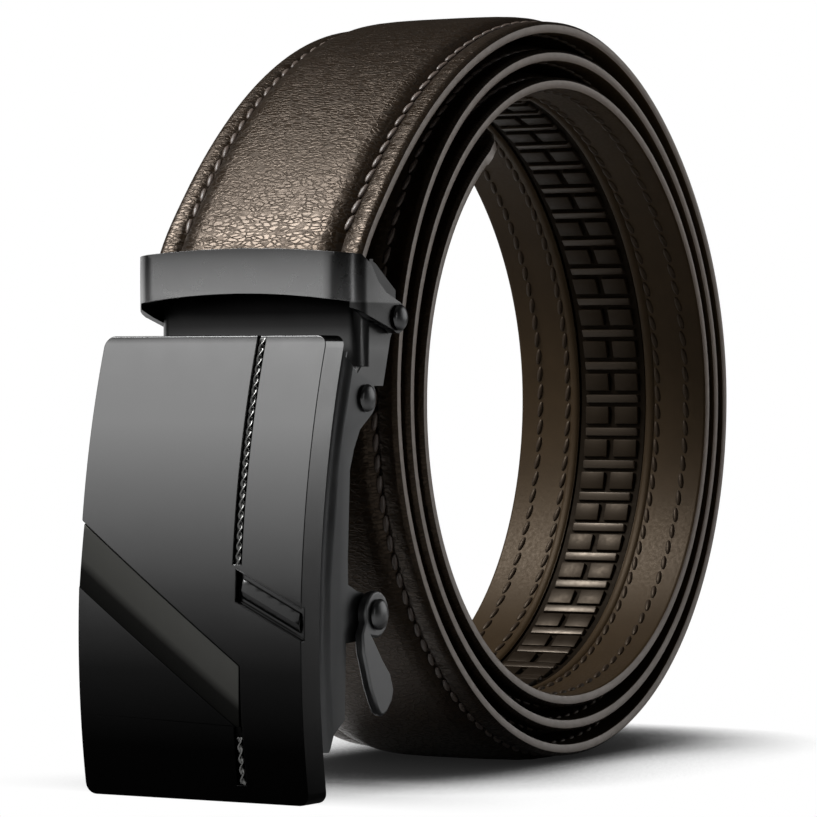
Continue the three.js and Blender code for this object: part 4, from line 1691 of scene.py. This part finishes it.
    def twisted_cord(self, node: str, finish: bpy.types.Material) -> None:
        """Twist two strands and lay them along the face.

        Args:
            node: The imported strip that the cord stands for.
            finish: Its finish.
        """
        low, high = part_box(node)
        length = high.z - low.z
        turns = max(1, round(length / self.lay))
        steps = self.lay_steps * turns
        strands = []
        for side in (-1, 1):
            bpy.ops.mesh.primitive_circle_add(vertices=10, radius=self.strand, fill_type="NOTHING")
            strand = name_it("strand")
            strand.rotation_euler = (math.pi / 2, 0, 0)
            strand.location = (side * self.strand_apart, 0, 0)
            settle(strand)
            apply_modifier(
                strand, "SCREW", axis="Z", angle=2 * math.pi * turns, screw_offset=length,
                steps=steps, render_steps=steps, use_merge_vertices=False)
            activate(strand)
            bpy.ops.object.mode_set(mode="EDIT")
            bpy.ops.mesh.select_all(action="SELECT")
            bpy.ops.mesh.fill_holes(sides=12)
            bpy.ops.mesh.select_all(action="SELECT")
            bpy.ops.mesh.normals_make_consistent(inside=False)
            bpy.ops.object.mode_set(mode="OBJECT")
            strands.append(strand)
        cord = join_pieces(strands)
        cord.name = node + "_twisted"
        x = (low.x + high.x) / 2

        def laid(co: Vector) -> Vector:
            z = low.z + co.z
            return Vector((co.x + x, self.arch(z) + self.rope_sunk + self.rope_flatness * co.y, z))

        shape(cord, laid)
        smooth(cord, 60)
        finish_piece(cord, Body.BUCKLE, [finish], [node])


# Studio


@dataclass
class Studio:
    """A pale floor, soft lights and the camera at the photograph's angle."""

    camera_place: tuple[float, float, float] = (0.3182, -0.5723, 0.0597)
    azimuth: float = 30.0
    elevation: float = 0.4
    lens: float = 181.3
    faint: float = 0.02
    dull: float = 0.45
    floor_radius: float = 0.55
    shade_reach: float = 0.03
    shade_front: float = -0.08
    shade_fade: float = 0.03

    def camera(self) -> None:
        """Stand the camera where the photograph was taken from."""
        bpy.ops.object.camera_add(location=self.camera_place)
        camera = bpy.context.active_object
        camera.name = "photo_camera"
        camera.rotation_euler = (
            math.radians(90 - self.elevation), 0, math.radians(self.azimuth))
        camera.data.lens = self.lens
        camera.data.sensor_width = 36
        camera.data.clip_start = 0.01
        camera.data.dof.use_dof = False
        bpy.context.scene.camera = camera

    def floor(self) -> None:
        """Lay a pale round floor."""
        bpy.ops.mesh.primitive_circle_add(vertices=96, radius=self.floor_radius, fill_type="NGON")
        floor = name_it("studio_floor")
        floor.data.materials.append(self.floor_paint())
        settle(floor)

    def floor_paint(self) -> bpy.types.Material:
        """Paint the floor pale, with soft shade where things stand close to it.

        Returns:
            The material, evenly bright to the camera but for the shade, and a dull pale grey to
            the pieces that mirror it.
        """
        recipe = Recipe("pale_floor")
        recipe.shader.inputs["Base Color"].default_value = (self.dull, self.dull, self.dull, 1)
        recipe.shader.inputs["Roughness"].default_value = 0.9
        near = recipe.add("ShaderNodeAmbientOcclusion", {"Distance": self.shade_reach}, samples=8)
        shade = recipe.ramp(
            near, "AO", [(0.0, 0.01), (0.5, 0.03), (0.7, 0.1), (0.85, 0.55), (0.95, 1.0)])
        split = recipe.add("ShaderNodeSeparateXYZ")
        recipe.link(recipe.place(False), "Vector", split, "Vector")
        behind = recipe.add("ShaderNodeMapRange")
        behind.inputs["From Min"].default_value = self.shade_front
        behind.inputs["From Max"].default_value = self.shade_front + self.shade_fade
        recipe.link(split, "Y", behind, "Value")
        spread = recipe.add("ShaderNodeMixRGB")
        spread.inputs[1].default_value = (1, 1, 1, 1)
        recipe.link(behind, "Result", spread, 0)
        recipe.link(shade, "Color", spread, 2)
        glow = recipe.add("ShaderNodeEmission")
        recipe.link(spread, "Color", glow, "Color")
        seen = recipe.add("ShaderNodeLightPath")
        blend = recipe.add("ShaderNodeMixShader")
        recipe.link(seen, "Is Camera Ray", blend, 0)
        recipe.link(recipe.shader, "BSDF", blend, 1)
        recipe.link(glow, "Emission", blend, 2)
        recipe.link(blend, "Shader", recipe.output, "Surface")
        return recipe.material

    def air(self) -> None:
        """Surround the set with a white that lights it only faintly."""
        world = bpy.data.worlds.new("studio_air")
        world.use_nodes = True
        tree = world.node_tree
        seen = tree.nodes.new("ShaderNodeLightPath")
        strength = tree.nodes.new("ShaderNodeMapRange")
        strength.inputs["To Min"].default_value = self.faint
        strength.inputs["To Max"].default_value = 1.0
        tree.links.new(seen.outputs["Is Camera Ray"], strength.inputs["Value"])
        background = tree.nodes["Background"]
        background.inputs["Color"].default_value = (1, 1, 1, 1)
        tree.links.new(strength.outputs["Result"], background.inputs["Strength"])
        bpy.context.scene.world = world

    def light(
        self, name: str, place: tuple[float, float, float], size: tuple[float, float], power: float,
        aim: tuple[float, float, float] = (0, -0.02, 0.06),
    ) -> None:
        """Hang a soft rectangular light.

        Args:
            name: Its name.
            place: Where it hangs.
            size: Its width and height.
            power: Its power in watts.
            aim: The point that it faces.
        """
        bpy.ops.object.light_add(type="AREA", location=place)
        lamp = bpy.context.active_object
        lamp.name = name
        lamp.data.shape = "RECTANGLE"
        lamp.data.size, lamp.data.size_y = size
        lamp.data.energy = power
        turn = (Vector(aim) - Vector(place)).to_track_quat("-Z", "Y")
        lamp.rotation_euler = turn.to_euler()

    def build(self) -> None:
        """Set the camera, the floor, the lights and the surroundings."""
        self.camera()
        self.floor()
        self.air()
        self.light("overhead_softbox", (0.0, 0.1, 1.3), (1.3, 1.3), 0.5)
        self.light("key_softbox", (-0.6, -0.53, 1.12), (0.5, 0.5), 30)
        self.light("front_fill", (-0.85, -1.45, 0.62), (1.2, 1.4), 7.5)
        self.light("right_strip", (1.35, -0.55, 0.3), (0.22, 0.8), 1.0)
        self.light("left_panel", (-1.5, 0.3, 0.15), (1.2, 0.7), 3.2)
        self.light("rear_right_fill", (0.8, 1.4, 0.4), (1.0, 0.8), 4.2)
        bpy.context.scene.view_settings.view_transform = "Standard"


def main() -> None:
    """Build the belt's pieces in order."""
    logging.basicConfig(level=logging.INFO, format="%(name)s: %(message)s")
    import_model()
    Studio().build()
    leather = GrainLeather().make()
    warm = (1.0, 0.78, 0.56)
    paint = PlainSkin(
        name="painted_edge", dark=(0.115, 0.088, 0.07), light=(0.172, 0.134, 0.108),
        roughness=0.34, spots=900, relief=0.03 * MM, sheen=(1.0, 0.9, 0.8)).make()
    lining = PlainSkin(
        name="lining_leather", dark=(0.016, 0.0098, 0.0046), light=(0.026, 0.0162, 0.0078),
        roughness=0.46, spots=1600, relief=0.04 * MM, gloss=0.14, sheen=warm).make()
    thread = PlainSkin(
        name="waxed_thread", dark=(0.04, 0.029, 0.023), light=(0.11, 0.085, 0.07),
        roughness=0.4, spots=4000, relief=0.08 * MM, on_surface=False).make()
    back_thread = PlainSkin(
        name="back_thread", dark=(0.008, 0.005, 0.003), light=(0.016, 0.01, 0.0065),
        roughness=0.5, spots=4000, relief=0.06 * MM, gloss=0.3, sheen=warm, on_surface=False).make()
    # One moulded plastic in three tones: the bars lighter as a painted highlight, the floor between the
    # teeth darker as painted shade.
    bars = PlainSkin(
        name="track_bars_painted_highlight", dark=(0.006, 0.0036, 0.0018), light=(0.01, 0.0062, 0.0033),
        roughness=0.34, spots=1200, relief=0.02 * MM, gloss=0.36, sheen=(1.0, 0.82, 0.64),
        on_surface=False).make()
    blocks = PlainSkin(
        name="track_blocks", dark=(0.004, 0.0024, 0.0012), light=(0.007, 0.0043, 0.0023),
        roughness=0.42, spots=1200, relief=0.02 * MM, gloss=0.16, sheen=warm,
        on_surface=False).make()
    channel = PlainSkin(
        name="track_floor_painted_shade", dark=(0.0025, 0.0015, 0.0008), light=(0.004, 0.0025, 0.0013),
        roughness=0.6, spots=1200, relief=0.02 * MM, gloss=0.06, sheen=warm,
        on_surface=False).make()
    gunmetal = PlatedMetal("gunmetal_plating", (0.06, 0.061, 0.062), (0.08, 0.081, 0.082), 0.34).make()
    blackened = PlatedMetal("lever_plating", (0.11, 0.111, 0.112), (0.15, 0.151, 0.152), 0.36).make()
    steel = PlatedMetal("pin_steel", (0.07, 0.071, 0.072), (0.1, 0.1, 0.1), 0.28).make()
    cord = PlatedMetal("cord_metal", (0.09, 0.09, 0.088), (0.16, 0.16, 0.155), 0.3).make()
    path = CoilPath()
    Strap(path).build(leather, paint, lining, thread, back_thread)
    Track(path).build([bars, blocks, channel])
    # Painted reflection on the jaw: lighter low down and darker towards the top, with painted glint and
    # shade stripes round its corner.
    jaw = PaintedReflectionMetal(
        name="jaw_plating_painted_reflection", node="clamp_jaw", reach=8.2 * MM, roughness=0.26,
        painted_shades=((0.0, 0.06), (0.02, 0.06), (0.05, 0.23), (0.2, 0.22), (0.5, 0.16), (0.8, 0.1),
                (0.95, 0.06), (1.0, 0.065)),
        corner=((0.0, 1.0), (0.25, 0.4), (0.45, 1.0), (0.7, 0.9), (0.86, 0.1), (1.0, 0.32))).make()
    # Painted shadow on the clip's web, black just under the jaw and lighter lower down, with a painted
    # highlight strip along the clip's front edge.
    web = PaintedReflectionMetal(
        name="clip_plating_painted_shade", node="clamp_jaw", reach=16.0 * MM, roughness=0.3,
        painted_shades=((0.0, 0.07), (0.1, 0.08), (0.2, 0.05), (0.3, 0.02), (0.42, 0.004), (1.0, 0.003)),
        strip=((0.0, 0.0), (0.3, 0.0), (0.46, 0.13), (0.53, 0.1), (0.55, 0.026), (1.0, 0.018))).make()
    # Painted reflection on the face: grey near the top fading to black at the foot, with a painted dark
    # line along the top edge.
    face = PaintedReflectionMetal(
        name="face_plating_painted_reflection", node="face_plate", reach=68.9 * MM,
        painted_shades=((0.0, 0.0004), (0.15, 0.001), (0.31, 0.0085), (0.47, 0.033), (0.58, 0.066),
                (0.69, 0.106), (0.82, 0.16), (0.985, 0.165), (1.0, 0.02))).make()
    buckle = Buckle()
    buckle.clip(web, jaw, steel)
    buckle.case(gunmetal, steel)
    buckle.lever(blackened, steel)
    plate = FacePlate()
    plate.build(face, plate.band_plating().make(), cord)


if __name__ == "__main__":
    main()
